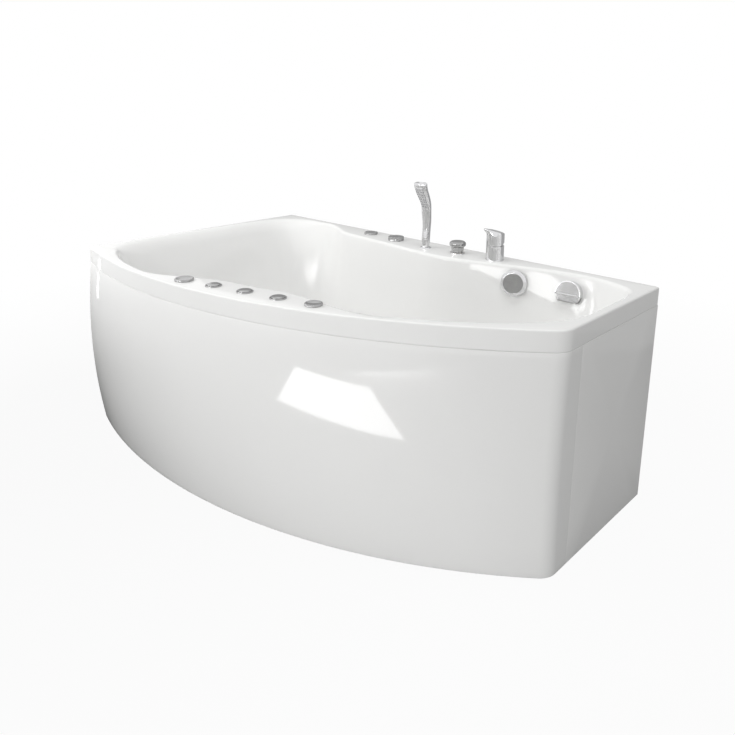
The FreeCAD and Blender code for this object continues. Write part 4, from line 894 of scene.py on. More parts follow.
def make_end_panel():
    """Flat panel of the right-hand end: a tray with rounded edges, open towards the frame."""
    tub = bpy.context.scene.bath_tub
    panel = bpy.context.scene.bath_panels
    outside = tub.half_length
    inside = outside - panel.thickness
    lip = outside - panel.flange
    low = Vector((0, panel.seam_y + panel.seam, panel.bottom))
    high = Vector((0, tub.back, panel.top))
    levels = [(panel.thickness * 2, inside), (panel.thickness, inside), (panel.thickness, lip), (0, lip),
              (0, outside - panel.edge)]
    for turn in quarter_turns(PANEL_EDGE_STEPS)[1:]:
        levels.append((panel.edge * (1 - math.cos(turn)), outside - panel.edge * (1 - math.sin(turn))))
    loops = [rectangle(x, low, high, inset) for inset, x in levels]
    middle = (low + high) / 2
    tips = [middle + Vector((loop[0].x, 0, 0)) for loop in (loops[0], loops[-1])]
    tray = skinned(loops, True, *tips)
    add_piece("end_panel_acrylic", tray, acrylic_material(), "tub", "acrylic", "end_panel")


def rectangle(x, low, high, inset):
    """Upright rectangle with its corners and the points between them."""
    steps = 8
    corners = [(low.y + inset, low.z + inset), (high.y - inset, low.z + inset),
               (high.y - inset, high.z - inset), (low.y + inset, high.z - inset)]
    points = []
    for (y, z), (next_y, next_z) in zip(corners, corners[1:] + corners[:1]):
        for step in range(steps):
            share = step / steps
            points.append(Vector((x, blend(y, next_y, share), blend(z, next_z, share))))
    return points


# Round controls


# Whether each turning control is ribbed
TURNERS = {"front_turner_left": False, "front_turner_right": True, "back_turner_left": True,
           "back_turner_right": True}
BUTTONS = ("button_left", "button_middle", "button_right")
RIB_STEPS = 8


def dished(radius, height, depth, steps=10):
    """Profile points of a round hollow, from its lip to its middle."""
    points = []
    for step in range(1, steps + 1):
        share = 1 - step / steps
        points.append(Vector((radius * share, height - depth * (1 - share * share))))
    return points


def make_turner(node, ribbed):
    """Turning control: bevelled ring round a dish, with a bore for its spindle below."""
    sizes = bpy.context.scene.bath_controls
    spot, low, high = middle_of(node)
    radius = (high.x - low.x) / 2
    height = high.z - low.z
    lip = radius * sizes.dish_share
    bore_top = height - sizes.dish - sizes.roof
    corners = [(0, bore_top, 0), (sizes.spindle, bore_top, 0), (sizes.spindle, 0, 0),
               (radius, 0, sizes.edge), (radius, height - sizes.bevel, sizes.edge),
               (radius - sizes.bevel, height, sizes.edge), (lip, height, sizes.edge),
               (lip - sizes.edge, height - sizes.edge, 0)]
    profile = rounded(corners) + dished(lip - sizes.edge, height - sizes.edge, sizes.dish - sizes.edge)

    def ribs(reach, rise, heading):
        held = ease((reach - lip) / (radius - lip)) * ease(rise / sizes.bevel)
        return reach - sizes.rib_depth * held * (1 - math.cos(heading * sizes.ribs)) / 2

    knob = turned(profile, upright(spot), steps=sizes.ribs * RIB_STEPS, shape=ribs if ribbed else None)
    add_piece(node + "_turner", knob, satin_material(), node, "chrome", node)


def make_button(node):
    """Push button: crowned cap with a soft edge on its stem."""
    sizes = bpy.context.scene.bath_controls
    edge = sizes.cap_height - sizes.cap_crown
    corners = [(0, -sizes.stem_length, 0), (sizes.stem, -sizes.stem_length, sizes.edge),
               (sizes.stem, sizes.cap_skirt, 0), (sizes.cap, sizes.cap_skirt, 0),
               (sizes.cap, edge, sizes.edge), (sizes.cap - sizes.bevel, edge, 0)]
    crown = dished(sizes.cap - sizes.bevel, edge, -sizes.cap_crown)
    cap = turned(rounded(corners) + crown, upright(deck_spot(node)))
    add_piece(node + "_cap", cap, satin_material(), node, "chrome", node)


def make_sleeves():
    """Bezels of the push buttons with their barrels under the rim."""
    sizes = bpy.context.scene.bath_controls
    bore = sizes.stem + sizes.gap
    cup = sizes.cap + sizes.gap
    corners = [(bore, -sizes.barrel_length, 0), (sizes.barrel, -sizes.barrel_length, 0), (sizes.barrel, 0, 0),
               (sizes.bezel, 0, 0), (sizes.bezel, sizes.bezel_height, sizes.bevel),
               (cup, sizes.bezel_height, sizes.edge), (cup, sizes.gap, 0), (bore, sizes.gap, 0)]
    rings = [turned(rounded(corners), upright(deck_spot(node))) for node in BUTTONS]
    add_piece("button_bezels", merged(rings), satin_material(), "tub", "chrome", "button_sleeves")


# Overflow cap and filler hood


CAP_STEPS = 144
PLATE_EDGE_STEPS = 5
FLAT_START_SHARE = 1.4


def make_overflow_cap():
    """Polished cap with a wide soft edge round a satin face, on the shaft that lifts the plug."""
    sizes = bpy.context.scene.bath_spouts
    place = facing(*record_joint("overflow_turn"))
    front = sizes.cap_start + sizes.cap_thickness
    shoulder = sizes.cap_start + sizes.cap_edge
    bed = front - sizes.inlay
    corners = [(0, -sizes.shaft_length, 0), (sizes.shaft, -sizes.shaft_length, 0),
               (sizes.shaft, sizes.cap_hollow, 0), (sizes.cap_hollow_radius, sizes.cap_hollow, 0),
               (sizes.cap_hollow_radius, sizes.cap_start, 0),
               (sizes.cap, sizes.cap_start, sizes.cap_edge / 2),
               (sizes.cap, shoulder, sizes.cap_edge), (sizes.cap_face, front, sizes.cap_edge),
               (sizes.cap_face - sizes.inlay, front, 0), (sizes.cap_face - sizes.inlay, bed, 0), (0, bed, 0)]
    cap = turned(rounded(corners), place, steps=CAP_STEPS)
    add_piece("overflow_cap", cap, chrome_material(), "overflow_knob", "chrome", "overflow_knob")
    edge = sizes.cap_face - sizes.inlay - sizes.inlay_gap
    seat = bed + sizes.inlay_gap
    corners = [(0, seat, 0), (edge, seat, 0), (edge, front, sizes.inlay_gap), (edge - sizes.inlay, front, 0)]
    hollow = dished(edge - sizes.inlay, front, sizes.inlay / 2)
    face = turned(rounded(corners) + hollow, place, steps=CAP_STEPS)
    add_piece("overflow_face", face, satin_material(), "overflow_knob", "chrome")


def wall_line(tub, z):
    """Points of the basin's back wall at a height."""
    sink = (tub.rim_height - z) / (tub.rim_height - tub.floor)
    flat = [0.0] * tub.columns
    loop = basin_loop(tub, [sink] * tub.columns, flat, flat, 0)
    quarter = tub.columns // 4
    return loop[quarter:2 * quarter]


def wall_point(tub, x, z):
    """Point of the basin's back wall at x and a height."""
    line = wall_line(tub, z)
    for start, end in zip(line, line[1:]):
        if end.x <= x <= start.x:
            return start.lerp(end, (start.x - x) / (start.x - end.x))
    raise ValueError("no back wall at this place")


def wall_facing(tub, x, z, reach):
    """Place on the back wall, with its own height running out into the basin."""
    along = wall_point(tub, x + reach, z) - wall_point(tub, x - reach, z)
    rise = wall_point(tub, x, z + reach) - wall_point(tub, x, z - reach)
    return facing(wall_point(tub, x, z), along.cross(rise))


def plate(outline, low, high, edge, place):
    """Closed plate from a plan outline, with its upper edge rounded."""
    levels = [(0, low)]
    for turn in quarter_turns(PLATE_EDGE_STEPS):
        levels.append((edge * (1 - math.cos(turn)), high - edge * (1 - math.sin(turn))))
    levels.append((edge * FLAT_START_SHARE, high))
    loops = []
    for inset, height in levels:
        points = grown([Vector((x, y, height)) for x, y in outline], [-inset] * len(outline))
        loops.append([place @ point for point in points])
    return skinned(loops, True, mean(loops[0]), mean(loops[-1]))


def disc_outline(radius, low, high, steps=72, edge_steps=18):
    """Plan points of a disc between two level cuts."""
    low_turn = math.asin(max(low / radius, -1))
    high_turn = math.asin(min(high / radius, 1))
    points = []
    for step in range(steps + 1):
        turn = blend(low_turn, high_turn, step / steps)
        points.append((radius * math.cos(turn), radius * math.sin(turn)))
    points.extend([(-x, y) for x, y in points[::-1] if x > TINY])
    start, end = points[-1], points[0]
    for step in range(1, edge_steps):
        share = step / edge_steps
        points.append((blend(start[0], end[0], share), blend(start[1], end[1], share)))
    return points


def make_filler_hood():
    """Round hood: polished rim and lip round a satin face, and a set-back band cut off level below."""
    sizes = bpy.context.scene.bath_spouts
    place = wall_facing(bpy.context.scene.bath_tub, sizes.hood_x, sizes.hood_height, sizes.hood)
    proud = sizes.hood_proud
    upper = disc_outline(sizes.hood, -sizes.hood_step_drop, sizes.hood)
    rim = plate(upper, -sizes.hood_sink, proud, sizes.hood_edge, place)
    add_piece("filler_hood_rim", rim, chrome_material(), "tub", "chrome", "filler_hood")
    inner = sizes.hood - sizes.hood_edge * 2
    face = disc_outline(inner, sizes.hood_lip - sizes.hood_step_drop, inner)
    band = disc_outline(sizes.hood - sizes.hood_edge, -sizes.hood_cut, sizes.hood_step_drop)
    parts = [plate(face, proud - sizes.inlay, proud + sizes.inlay_gap, sizes.inlay_gap, place),
             plate(band, -sizes.hood_sink, proud - sizes.hood_step, sizes.hood_edge, place)]
    add_piece("filler_hood_face", merged(parts), satin_material(), "tub", "chrome")


# Hand shower


HANDLE_WIDTH_SHARES = ((0.0, 0.47), (0.25, 0.52), (0.60, 0.70), (0.86, 0.92), (1.0, 1.0))
HANDLE_DEPTH_SHARES = ((0.0, 1.16), (0.30, 1.02), (0.62, 0.90), (0.90, 0.96), (1.0, 0.86))
HANDLE_LEAN_SHARES = ((0.0, 0.0), (0.38, 0.20), (0.60, 0.04), (1.0, -1.50))
HEAD_SLOPE_SHARE = 0.35
HANDLE_TOP_SHARE = 0.985
TOP_STEPS = 7
TOP_ROUND_SHARE = 0.14
SPRAY_GRID = (28, 17)
SPRAY_END_SHARE = 0.62
SPRAY_TAPER_SHARE = 0.14
SPRAY_EDGE_SHARES = (0.2, 0.035)
NOZZLE_SHARES = ((0, 0), (1, 0), (0.92, 0.6), (0.55, 0.95), (0, 1))
NOZZLE_STEPS = 10
NOZZLE_SPREAD_SHARE = 0.86


def through(table, share):
    """Smooth value at a share of a table of (share, value) pairs."""
    for (start, first), (end, second) in zip(table, table[1:]):
        if share <= end:
            return blend(first, second, ease((share - start) / (end - start)))
    return table[-1][1]


def handle_point(sizes, foot, share, turn, grow):
    """Point of the handle's skin at a share of its height and a direction round it."""
    wide = sizes.width / 2 * through(HANDLE_WIDTH_SHARES, share) + grow
    deep = sizes.depth / 2 * through(HANDLE_DEPTH_SHARES, share) + grow
    power = 2 / sizes.squareness
    across, deepward = math.cos(turn), math.sin(turn)
    x = wide * math.copysign(abs(across) ** power, across)
    y = deep * math.copysign(abs(deepward) ** power, deepward)
    lean_here = sizes.depth * through(HANDLE_LEAN_SHARES, share)
    return foot + Vector((x, y + lean_here, sizes.height * share + y * HEAD_SLOPE_SHARE * ease(share)))


def handle_foot(sizes):
    """Middle of the handle's foot, just above the socket."""
    return deck_spot("shower_socket") + UP * (sizes.socket_proud + sizes.seat_gap)


def make_hand_shower():
    """Flat curved handle, from its stem up to the oblique top of the head."""
    sizes = bpy.context.scene.bath_shower
    spot = handle_foot(sizes)
    foot = spot - UP * sizes.stem_length
    turns = [2 * math.pi * step / sizes.around for step in range(sizes.around)]
    loops = []
    for middle in (foot, spot):
        loops.append([middle + Vector((math.cos(turn), math.sin(turn), 0)) * sizes.stem for turn in turns])
    for row in range(sizes.rows + 1):
        share = row / sizes.rows * HANDLE_TOP_SHARE
        loops.append([handle_point(sizes, spot, share, turn, 0) for turn in turns])
    edge = loops[-1]
    top = mean(edge)
    lift = UP * sizes.height * (1 - HANDLE_TOP_SHARE)
    for turn in quarter_turns(TOP_STEPS)[1:-1]:
        width_share = 1 - TOP_ROUND_SHARE * (1 - math.cos(turn))
        loops.append([top.lerp(point, width_share) + lift * math.sin(turn) for point in edge])
    handle = skinned(loops, True, foot, top + lift)
    add_piece("hand_shower_chrome", handle, chrome_material(), "hand_shower", "chrome", "hand_shower")


def spray_turn(side_share, width_share):
    """Direction round the head for a place across the spray face, which looks towards the basin."""
    return -math.pi / 2 + math.asin(clamp(abs(side_share) * width_share)) * math.copysign(1, side_share)


def make_spray_face():
    """Spray face let into the head, sunk at its edges."""
    sizes = bpy.context.scene.bath_shower
    spot = handle_foot(sizes)
    rows, columns = SPRAY_GRID
    sides = [2 * column / columns - 1 for column in range(columns + 1)]
    loops = []
    for row in range(rows + 1):
        share = blend(sizes.spray_low_share, sizes.spray_high_share, row / rows)
        end = min(row, rows - row) / rows
        narrow = blend(SPRAY_END_SHARE, 1, ease(end / SPRAY_TAPER_SHARE))
        turns = [spray_turn(side * narrow, sizes.spray_width_share) for side in sides]
        front = []
        for side, turn in zip(sides, turns):
            edge = ease((1 - abs(side)) / SPRAY_EDGE_SHARES[0]) * ease(end / SPRAY_EDGE_SHARES[1])
            proud = blend(-sizes.spray_sink, sizes.spray_proud, edge)
            front.append(handle_point(sizes, spot, share, turn, proud))
        back = [handle_point(sizes, spot, share, turn, -sizes.spray_sink * 2) for turn in turns[::-1]]
        loops.append(front + back)
    face = skinned(loops, True, mean(loops[0]), mean(loops[-1]))
    add_piece("spray_face", face, spray_material(), "hand_shower", "spray_grey", "shower_face")


def make_spray_nozzles():
    """Rows of small rubber nozzles on the spray face."""
    sizes = bpy.context.scene.bath_shower
    spot = handle_foot(sizes)
    profile = [Vector((reach * sizes.nozzle, rise * sizes.nozzle)) for reach, rise in NOZZLE_SHARES]
    tips = []
    for row in range(sizes.nozzle_rows):
        share = blend(sizes.spray_low_share, sizes.spray_high_share, (row + 1) / (sizes.nozzle_rows + 1))
        for column in range(sizes.nozzle_columns):
            side = (2 * (column + HALF_SHARE) / sizes.nozzle_columns - 1) * NOZZLE_SPREAD_SHARE
            turn = spray_turn(side, sizes.spray_width_share)
            low = handle_point(sizes, spot, share, turn, 0)
            high = handle_point(sizes, spot, share, turn, sizes.nozzle * 2)
            tips.append(turned(profile, facing(low, high - low), steps=NOZZLE_STEPS))
    add_piece("spray_nozzles", merged(tips), spray_tip_material(), "hand_shower", "spray_grey")


def make_shower_socket():
    """Flared ring on the deck with the tube that holds the handle's stem."""
    sizes = bpy.context.scene.bath_shower
    corners = [(sizes.socket_bore, -sizes.socket_length, 0), (sizes.socket_barrel, -sizes.socket_length, 0),
               (sizes.socket_barrel, 0, 0), (sizes.socket + sizes.socket_flare, 0, 0),
               (sizes.socket, sizes.socket_proud, sizes.socket_flare),
               (sizes.socket_bore, sizes.socket_proud, 0)]
    socket = turned(rounded(corners), upright(deck_spot("shower_socket")))
    add_piece("shower_socket_chrome", socket, chrome_material(), "tub", "chrome", "shower_socket")


# Diverter knob and mixer


KNOB_SIDE_SHARES = tuple(step / 10 for step in range(11))
KNOB_CAP_SHARE = 0.52
FLUTE_STEPS = 20
COLUMN_STEPS = 120
BALL_STEPS = 6
BEAK_START_SHARE = 0.62
BEAK_GROWTH_POWER = 2
BEAK_REACH_POWER = 4
BEAK_SIDE_POWER = 2
LEVER_LEVEL_SHARES = (0.0, 0.04, 0.2, 0.4, 0.55, 0.62, 0.68, 0.73, 0.78, 0.82, 0.86, 0.9, 0.94)


def make_diverter_knob():
    """Knob with a soft cap over a fluted body."""
    sizes = bpy.context.scene.bath_taps
    spot, low, high = middle_of("diverter_knob")
    height = high.z - low.z
    cap_low = height * KNOB_CAP_SHARE
    soft = sizes.knob_edge * 2
    hub = sizes.spindle * 2
    corners = [(0, sizes.spindle_top, 0), (sizes.spindle, sizes.spindle_top, 0), (sizes.spindle, 0, 0),
               (sizes.knob_foot, 0, sizes.knob_edge), (sizes.knob_waist, cap_low, 0),
               (sizes.knob_top, cap_low + soft, soft), (sizes.knob_top, height - soft, soft),
               (sizes.knob_waist, height, 0)]
    profile = rounded(corners)
    cut = next(index for index, point in enumerate(profile) if point.y > cap_low - TINY and point.x > hub)
    side = [Vector((blend(sizes.knob_foot, sizes.knob_waist, share), blend(sizes.knob_edge, cap_low, share)))
            for share in KNOB_SIDE_SHARES]
    profile = profile[:cut] + side + profile[cut:] + dished(sizes.knob_waist, height, sizes.knob_dish)

    def flutes(reach, rise, heading):
        body = ease((reach - hub) / (sizes.knob_foot - hub))
        ends = ease(rise / sizes.knob_edge) * (1 - ease((rise - cap_low + sizes.knob_edge) / sizes.knob_edge))
        wave = (1 + math.cos(heading * sizes.knob_flutes)) / 2
        return reach - sizes.knob_flute * body * ends * wave

    knob = turned(profile, upright(spot), steps=sizes.knob_flutes * FLUTE_STEPS, shape=flutes)
    add_piece("diverter_knob_chrome", knob, satin_material(), "diverter_knob", "chrome", "diverter_knob")


def make_diverter_ring():
    """Plain ring on the deck under the diverter knob."""
    sizes = bpy.context.scene.bath_taps
    bore = sizes.knob_foot / 2
    corners = [(bore, 0, 0), (sizes.base, 0, 0), (sizes.base, sizes.base_height, sizes.knob_edge),
               (bore, sizes.base_height, 0)]
    ring = turned(rounded(corners), upright(deck_spot("diverter_knob")))
    add_piece("diverter_ring", ring, chrome_material(), "tub", "chrome")


def make_mixer_column():
    """Column of the mixer, a little wider at its foot, with a thin flange and the shank below the deck."""
    sizes = bpy.context.scene.bath_taps
    top = sizes.column_height
    seat = top - sizes.spigot_length
    corners = [(0, -sizes.shank_length, 0), (sizes.shank, -sizes.shank_length, 0), (sizes.shank, 0, 0),
               (sizes.flange, 0, 0), (sizes.flange, sizes.flange_height, sizes.flange_height / 2),
               (sizes.column, sizes.flange_height, 0), (sizes.column_top, top, sizes.column_edge),
               (sizes.spigot, top, 0), (sizes.spigot, seat, 0), (0, seat, 0)]
    column = turned(rounded(corners), upright(deck_spot("mixer_body")), steps=COLUMN_STEPS)
    add_piece("mixer_column", column, chrome_material(), "tub", "chrome", "mixer_body")


def lever_outline(sizes, level_share):
    """Plan points of the lever at a share of its height, with its beak along +X."""
    growth = ease((level_share - BEAK_START_SHARE) / (1 - BEAK_START_SHARE)) ** BEAK_GROWTH_POWER
    points = []
    for step in range(COLUMN_STEPS):
        turn = 2 * math.pi * step / COLUMN_STEPS
        ahead = max(math.cos(turn), 0)
        reach = blend(sizes.skirt, sizes.beak, growth * ahead ** BEAK_REACH_POWER)
        narrow = blend(1, sizes.beak_width / sizes.skirt, growth * ahead ** BEAK_SIDE_POWER)
        points.append(Vector((reach * math.cos(turn), reach * math.sin(turn) * narrow)))
    return points


def make_mixer_lever():
    """Lever: cap round the ball, flush with the column, whose sloped top runs out into a thin beak."""
    sizes = bpy.context.scene.bath_taps
    place = upright(record_joint("mixer_turn")[0]) @ Matrix.Rotation(sizes.beak_heading, 4, "Z")
    fall = math.tan(sizes.beak_slope)

    def low_edge(point):
        return max(-point.x / point.length, 0) * sizes.skirt_slope - sizes.skirt_drop

    def top_height(x):
        return sizes.lever_height - (sizes.beak - x) * fall

    def lofted(level_share, inset, sink):
        points = []
        for point in lever_outline(sizes, level_share):
            held = point * (1 - inset / point.length)
            height = blend(low_edge(point), top_height(held.x) - sink, level_share)
            points.append(place @ Vector((*held, height)))
        return points

    loops = []
    for step in range(BALL_STEPS, -1, -1):
        loop = []
        for point in lever_outline(sizes, 0):
            turn = blend(math.asin(low_edge(point) / sizes.ball), math.pi / 2, step / (BALL_STEPS + 1))
            reach = point.normalized() * sizes.ball * math.cos(turn)
            loop.append(place @ Vector((*reach, sizes.ball * math.sin(turn))))
        loops.append(loop)
    edge = sizes.lever_edge
    loops.extend(lofted(share, 0, edge) for share in LEVER_LEVEL_SHARES)
    for turn in quarter_turns(BALL_STEPS):
        loops.append(lofted(1, edge * (1 - math.cos(turn)), edge * (1 - math.sin(turn))))
    loops.append(lofted(1, edge * FLAT_START_SHARE, 0))
    for share in FAN_SHARES:
        points = [point * share for point in lever_outline(sizes, 1)]
        loops.append([place @ Vector((*point, top_height(point.x))) for point in points])
    tips = [place @ Vector((0, 0, sizes.ball)), place @ Vector((0, 0, top_height(0)))]
    lever = skinned(loops, True, *tips)
    add_piece("mixer_lever_chrome", lever, chrome_material(), "mixer_lever", "chrome", "mixer_lever")


# Finishes


BUMP_DEPTH = 0.0004
MOTTLE_DETAIL = 6.0
MOTTLE_SHARES = (0.35, 0.65)
GRAIN_DETAIL = 3.0


def group_tree(name, inputs, outputs):
    """A shader node group with named sockets, built once."""
    tree = bpy.data.node_groups.new(name, "ShaderNodeTree")
    for socket, kind, default in inputs:
        made = tree.interface.new_socket(name=socket, in_out="INPUT", socket_type=kind)
        made.default_value = default
    for socket, kind in outputs:
        tree.interface.new_socket(name=socket, in_out="OUTPUT", socket_type=kind)
    entry = tree.nodes.new("NodeGroupInput")
    leave = tree.nodes.new("NodeGroupOutput")
    return tree, entry, leave


def noise_node(tree, coordinates, scale, detail):
    """Noise over a surface, whose scale is a socket."""
    noise = tree.nodes.new("ShaderNodeTexNoise")
    noise.inputs["Detail"].default_value = detail
    tree.links.new(coordinates, noise.inputs["Vector"])
    tree.links.new(scale, noise.inputs["Scale"])
    return noise.outputs["Fac"]


def range_node(tree, value, low, high, to_low, to_high):
    """Maps a value from one range to another; each end is a number or a socket."""
    node = tree.nodes.new("ShaderNodeMapRange")
    tree.links.new(value, node.inputs["Value"])
    ends = {"From Min": low, "From Max": high, "To Min": to_low, "To Max": to_high}
    for name, end in ends.items():
        if isinstance(end, (int, float)):
            node.inputs[name].default_value = end
        else:
            tree.links.new(end, node.inputs[name])
    return node.outputs["Result"]


def mottle_group():
    """Slow changes of colour and of gloss over a surface."""
    found = bpy.data.node_groups.get("Mottle")
    if found:
        return found
    tree, entry, leave = group_tree(
        "Mottle",
        [("Color", "NodeSocketColor", (1, 1, 1, 1)), ("Shade", "NodeSocketColor", (0.9, 0.9, 0.9, 1)),
         ("Scale", "NodeSocketFloat", 5.0), ("Low Roughness", "NodeSocketFloat", 0.1),
         ("High Roughness", "NodeSocketFloat", 0.2)],
        [("Color", "NodeSocketColor"), ("Roughness", "NodeSocketFloat")])
    place = tree.nodes.new("ShaderNodeTexCoord")
    noise = noise_node(tree, place.outputs["Object"], entry.outputs["Scale"], MOTTLE_DETAIL)
    mask = range_node(tree, noise, *MOTTLE_SHARES, 0.0, 1.0)
    mix = tree.nodes.new("ShaderNodeMix")
    mix.data_type = "RGBA"
    tree.links.new(mask, mix.inputs["Factor"])
    tree.links.new(entry.outputs["Color"], mix.inputs["A"])
    tree.links.new(entry.outputs["Shade"], mix.inputs["B"])
    gloss = range_node(tree, mask, 0.0, 1.0, entry.outputs["Low Roughness"], entry.outputs["High Roughness"])
    tree.links.new(mix.outputs["Result"], leave.inputs["Color"])
    tree.links.new(gloss, leave.inputs["Roughness"])
    return tree


def grain_group():
    """Fine height of a moulded, cast or sprayed skin."""
    found = bpy.data.node_groups.get("Grain")
    if found:
        return found
    tree, entry, leave = group_tree("Grain", [("Scale", "NodeSocketFloat", 400.0)],
                                    [("Height", "NodeSocketFloat")])
    place = tree.nodes.new("ShaderNodeTexCoord")
    noise = noise_node(tree, place.outputs["Object"], entry.outputs["Scale"], GRAIN_DETAIL)
    tree.links.new(noise, leave.inputs["Height"])
    return tree


def add_group(tree, group, values):
    """Places a node group in a material with its own values."""
    node = tree.nodes.new("ShaderNodeGroup")
    node.node_tree = group
    for name, value in values.items():
        node.inputs[name].default_value = value
    return node


def finish(name, hue, shade_share, mottle_scale, roughness, grain_scale, bump, metallic=0.0):
    """A procedural finish: mottled colour and gloss, with a fine grain in its normal."""
    found = bpy.data.materials.get(name)
    if found:
        return found
    material = bpy.data.materials.new(name)
    material.use_nodes = True
    tree = material.node_tree
    shader = tree.nodes["Principled BSDF"]
    shader.inputs["Metallic"].default_value = metallic
    base = getattr(bpy.context.scene.bath_colours, hue)
    mottle = add_group(tree, mottle_group(), {
        "Color": (*base, 1), "Shade": (*[part * shade_share for part in base], 1), "Scale": mottle_scale,
        "Low Roughness": roughness[0], "High Roughness": roughness[1]})
    tree.links.new(mottle.outputs["Color"], shader.inputs["Base Color"])
    tree.links.new(mottle.outputs["Roughness"], shader.inputs["Roughness"])
    grain = add_group(tree, grain_group(), {"Scale": grain_scale})
    relief = tree.nodes.new("ShaderNodeBump")
    relief.inputs["Strength"].default_value = bump
    relief.inputs["Distance"].default_value = BUMP_DEPTH
    tree.links.new(grain.outputs["Height"], relief.inputs["Height"])
    tree.links.new(relief.outputs["Normal"], shader.inputs["Normal"])
    return material


def acrylic_material():
    """Polished white acrylic, a little uneven in its gloss."""
    return finish("White acrylic", "acrylic", shade_share=0.985, mottle_scale=3.0, roughness=(0.05, 0.08),
                  grain_scale=60.0, bump=0.012)


def chrome_material():
    """Mirror chrome."""
    return finish("Chrome", "chrome", shade_share=0.94, mottle_scale=40.0, roughness=(0.06, 0.12),
                  grain_scale=300.0, bump=0.01, metallic=1.0)


def satin_material():
    """Darker satin chrome of the controls."""
    return finish("Satin chrome", "satin", shade_share=0.92, mottle_scale=60.0, roughness=(0.1, 0.16),
                  grain_scale=700.0, bump=0.04, metallic=1.0)


def spray_material():
    """Satin grey of the spray face."""
    return finish("Spray face", "spray", shade_share=0.9, mottle_scale=90.0, roughness=(0.25, 0.36),
                  grain_scale=900.0, bump=0.15, metallic=0.3)


def spray_tip_material():
    """Dark rubber of the spray nozzles."""
    return finish("Spray nozzles", "spray_tip", shade_share=1.3, mottle_scale=400.0, roughness=(0.5, 0.65),
                  grain_scale=900.0, bump=0.3)


def board_material():
    """Particle board with its chips."""
    return finish("Particle board", "board", shade_share=0.72, mottle_scale=160.0, roughness=(0.7, 0.9),
                  grain_scale=500.0, bump=0.6)


def powder_coat_material():
    """Powder coat of the steel frame."""
    return finish("Powder coat", "steel", shade_share=0.93, mottle_scale=25.0, roughness=(0.35, 0.5),
                  grain_scale=700.0, bump=0.25)


def zinc_material():
    """Bright zinc of the levelling feet."""
    return finish("Bright zinc", "zinc", shade_share=0.85, mottle_scale=60.0, roughness=(0.25, 0.4),
                  grain_scale=600.0, bump=0.2, metallic=1.0)


def rubber_material():
    """Matt black rubber."""
    return finish("Rubber", "rubber", shade_share=1.6, mottle_scale=50.0, roughness=(0.6, 0.8),
                  grain_scale=800.0, bump=0.4)


def brass_material():
    """Plain brass."""
    return finish("Brass", "brass", shade_share=0.8, mottle_scale=45.0, roughness=(0.2, 0.38),
                  grain_scale=500.0, bump=0.15, metallic=1.0)


def pipe_material():
    """White pipe plastic."""
    return finish("Pipe plastic", "pipe", shade_share=0.95, mottle_scale=18.0, roughness=(0.28, 0.4),
                  grain_scale=500.0, bump=0.12)


def nozzle_material():
    """Glossy plastic of the ball nozzles."""
    return finish("Nozzle plastic", "nozzle", shade_share=0.95, mottle_scale=60.0, roughness=(0.12, 0.2),
                  grain_scale=600.0, bump=0.05)


def pump_material():
    """Moulded black plastic."""
    return finish("Moulded black", "pump", shade_share=1.7, mottle_scale=30.0, roughness=(0.4, 0.6),
                  grain_scale=900.0, bump=0.5)


def motor_material():
    """Cast aluminium of the motor."""
    return finish("Cast aluminium", "motor", shade_share=0.85, mottle_scale=35.0, roughness=(0.35, 0.55),
                  grain_scale=700.0, bump=0.5, metallic=1.0)


SLOT_MATERIALS = {
    "acrylic": acrylic_material,
    "chrome": chrome_material,
    "spray_grey": spray_material,
    "board": board_material,
    "frame_steel": powder_coat_material,
    "zinc_steel": zinc_material,
    "rubber": rubber_material,
    "brass": brass_material,
    "white_pipe": pipe_material,
    "nozzle_white": nozzle_material,
    "pump_black": pump_material,
    "motor_aluminium": motor_material,
}


def dress_nodes():
    """Gives every CAD node the finish of its slot."""
    finishes = {slot: material() for slot, material in SLOT_MATERIALS.items()}
    for row in frame["record"]["subparts"]:
        node = frame["nodes"][row["node"]]
        node.data.materials.clear()
        node.data.materials.append(finishes[row["material_slot"]])


# Stage


def math_node(tree, operation, first, second):
    """A value worked out from two others; each is a number or a socket."""
    node = tree.nodes.new("ShaderNodeMath")
    node.operation = operation
    for socket, value in zip(node.inputs, (first, second)):
        if isinstance(value, (int, float)):
            socket.default_value = value
        else:
            tree.links.new(value, socket)
    return node.outputs["Value"]


def seen_rays(tree):
    """1 for what the camera sees, and 1 for what the metal and the gloss see."""
    path = tree.nodes.new("ShaderNodeLightPath")
    mirrored = math_node(tree, "MAXIMUM", path.outputs["Is Glossy Ray"], path.outputs["Is Transmission Ray"])
    return path.outputs["Is Camera Ray"], mirrored


def bare_material(name):
    """A material without its first shader."""
    material = bpy.data.materials.new(name)
    material.use_nodes = True
    tree = material.node_tree
    tree.nodes.remove(tree.nodes["Principled BSDF"])
    return material, tree, tree.nodes["Material Output"].inputs["Surface"]


def distance_to(tree, spot):
    """Distance of each place on a sheet from a spot."""
    place = tree.nodes.new("ShaderNodeTexCoord")
    apart = tree.nodes.new("ShaderNodeVectorMath")
    apart.operation = "DISTANCE"
    apart.inputs[1].default_value = spot
    tree.links.new(place.outputs["Object"], apart.inputs[0])
    return apart.outputs["Value"]


def mix_shaders(tree, share, first, second, surface):
    """Sends a mix of two shaders to a surface."""
    mix = tree.nodes.new("ShaderNodeMixShader")
    tree.links.new(share, mix.inputs["Fac"])
    tree.links.new(first, mix.inputs[1])
    tree.links.new(second, mix.inputs[2])
    tree.links.new(mix.outputs["Shader"], surface)


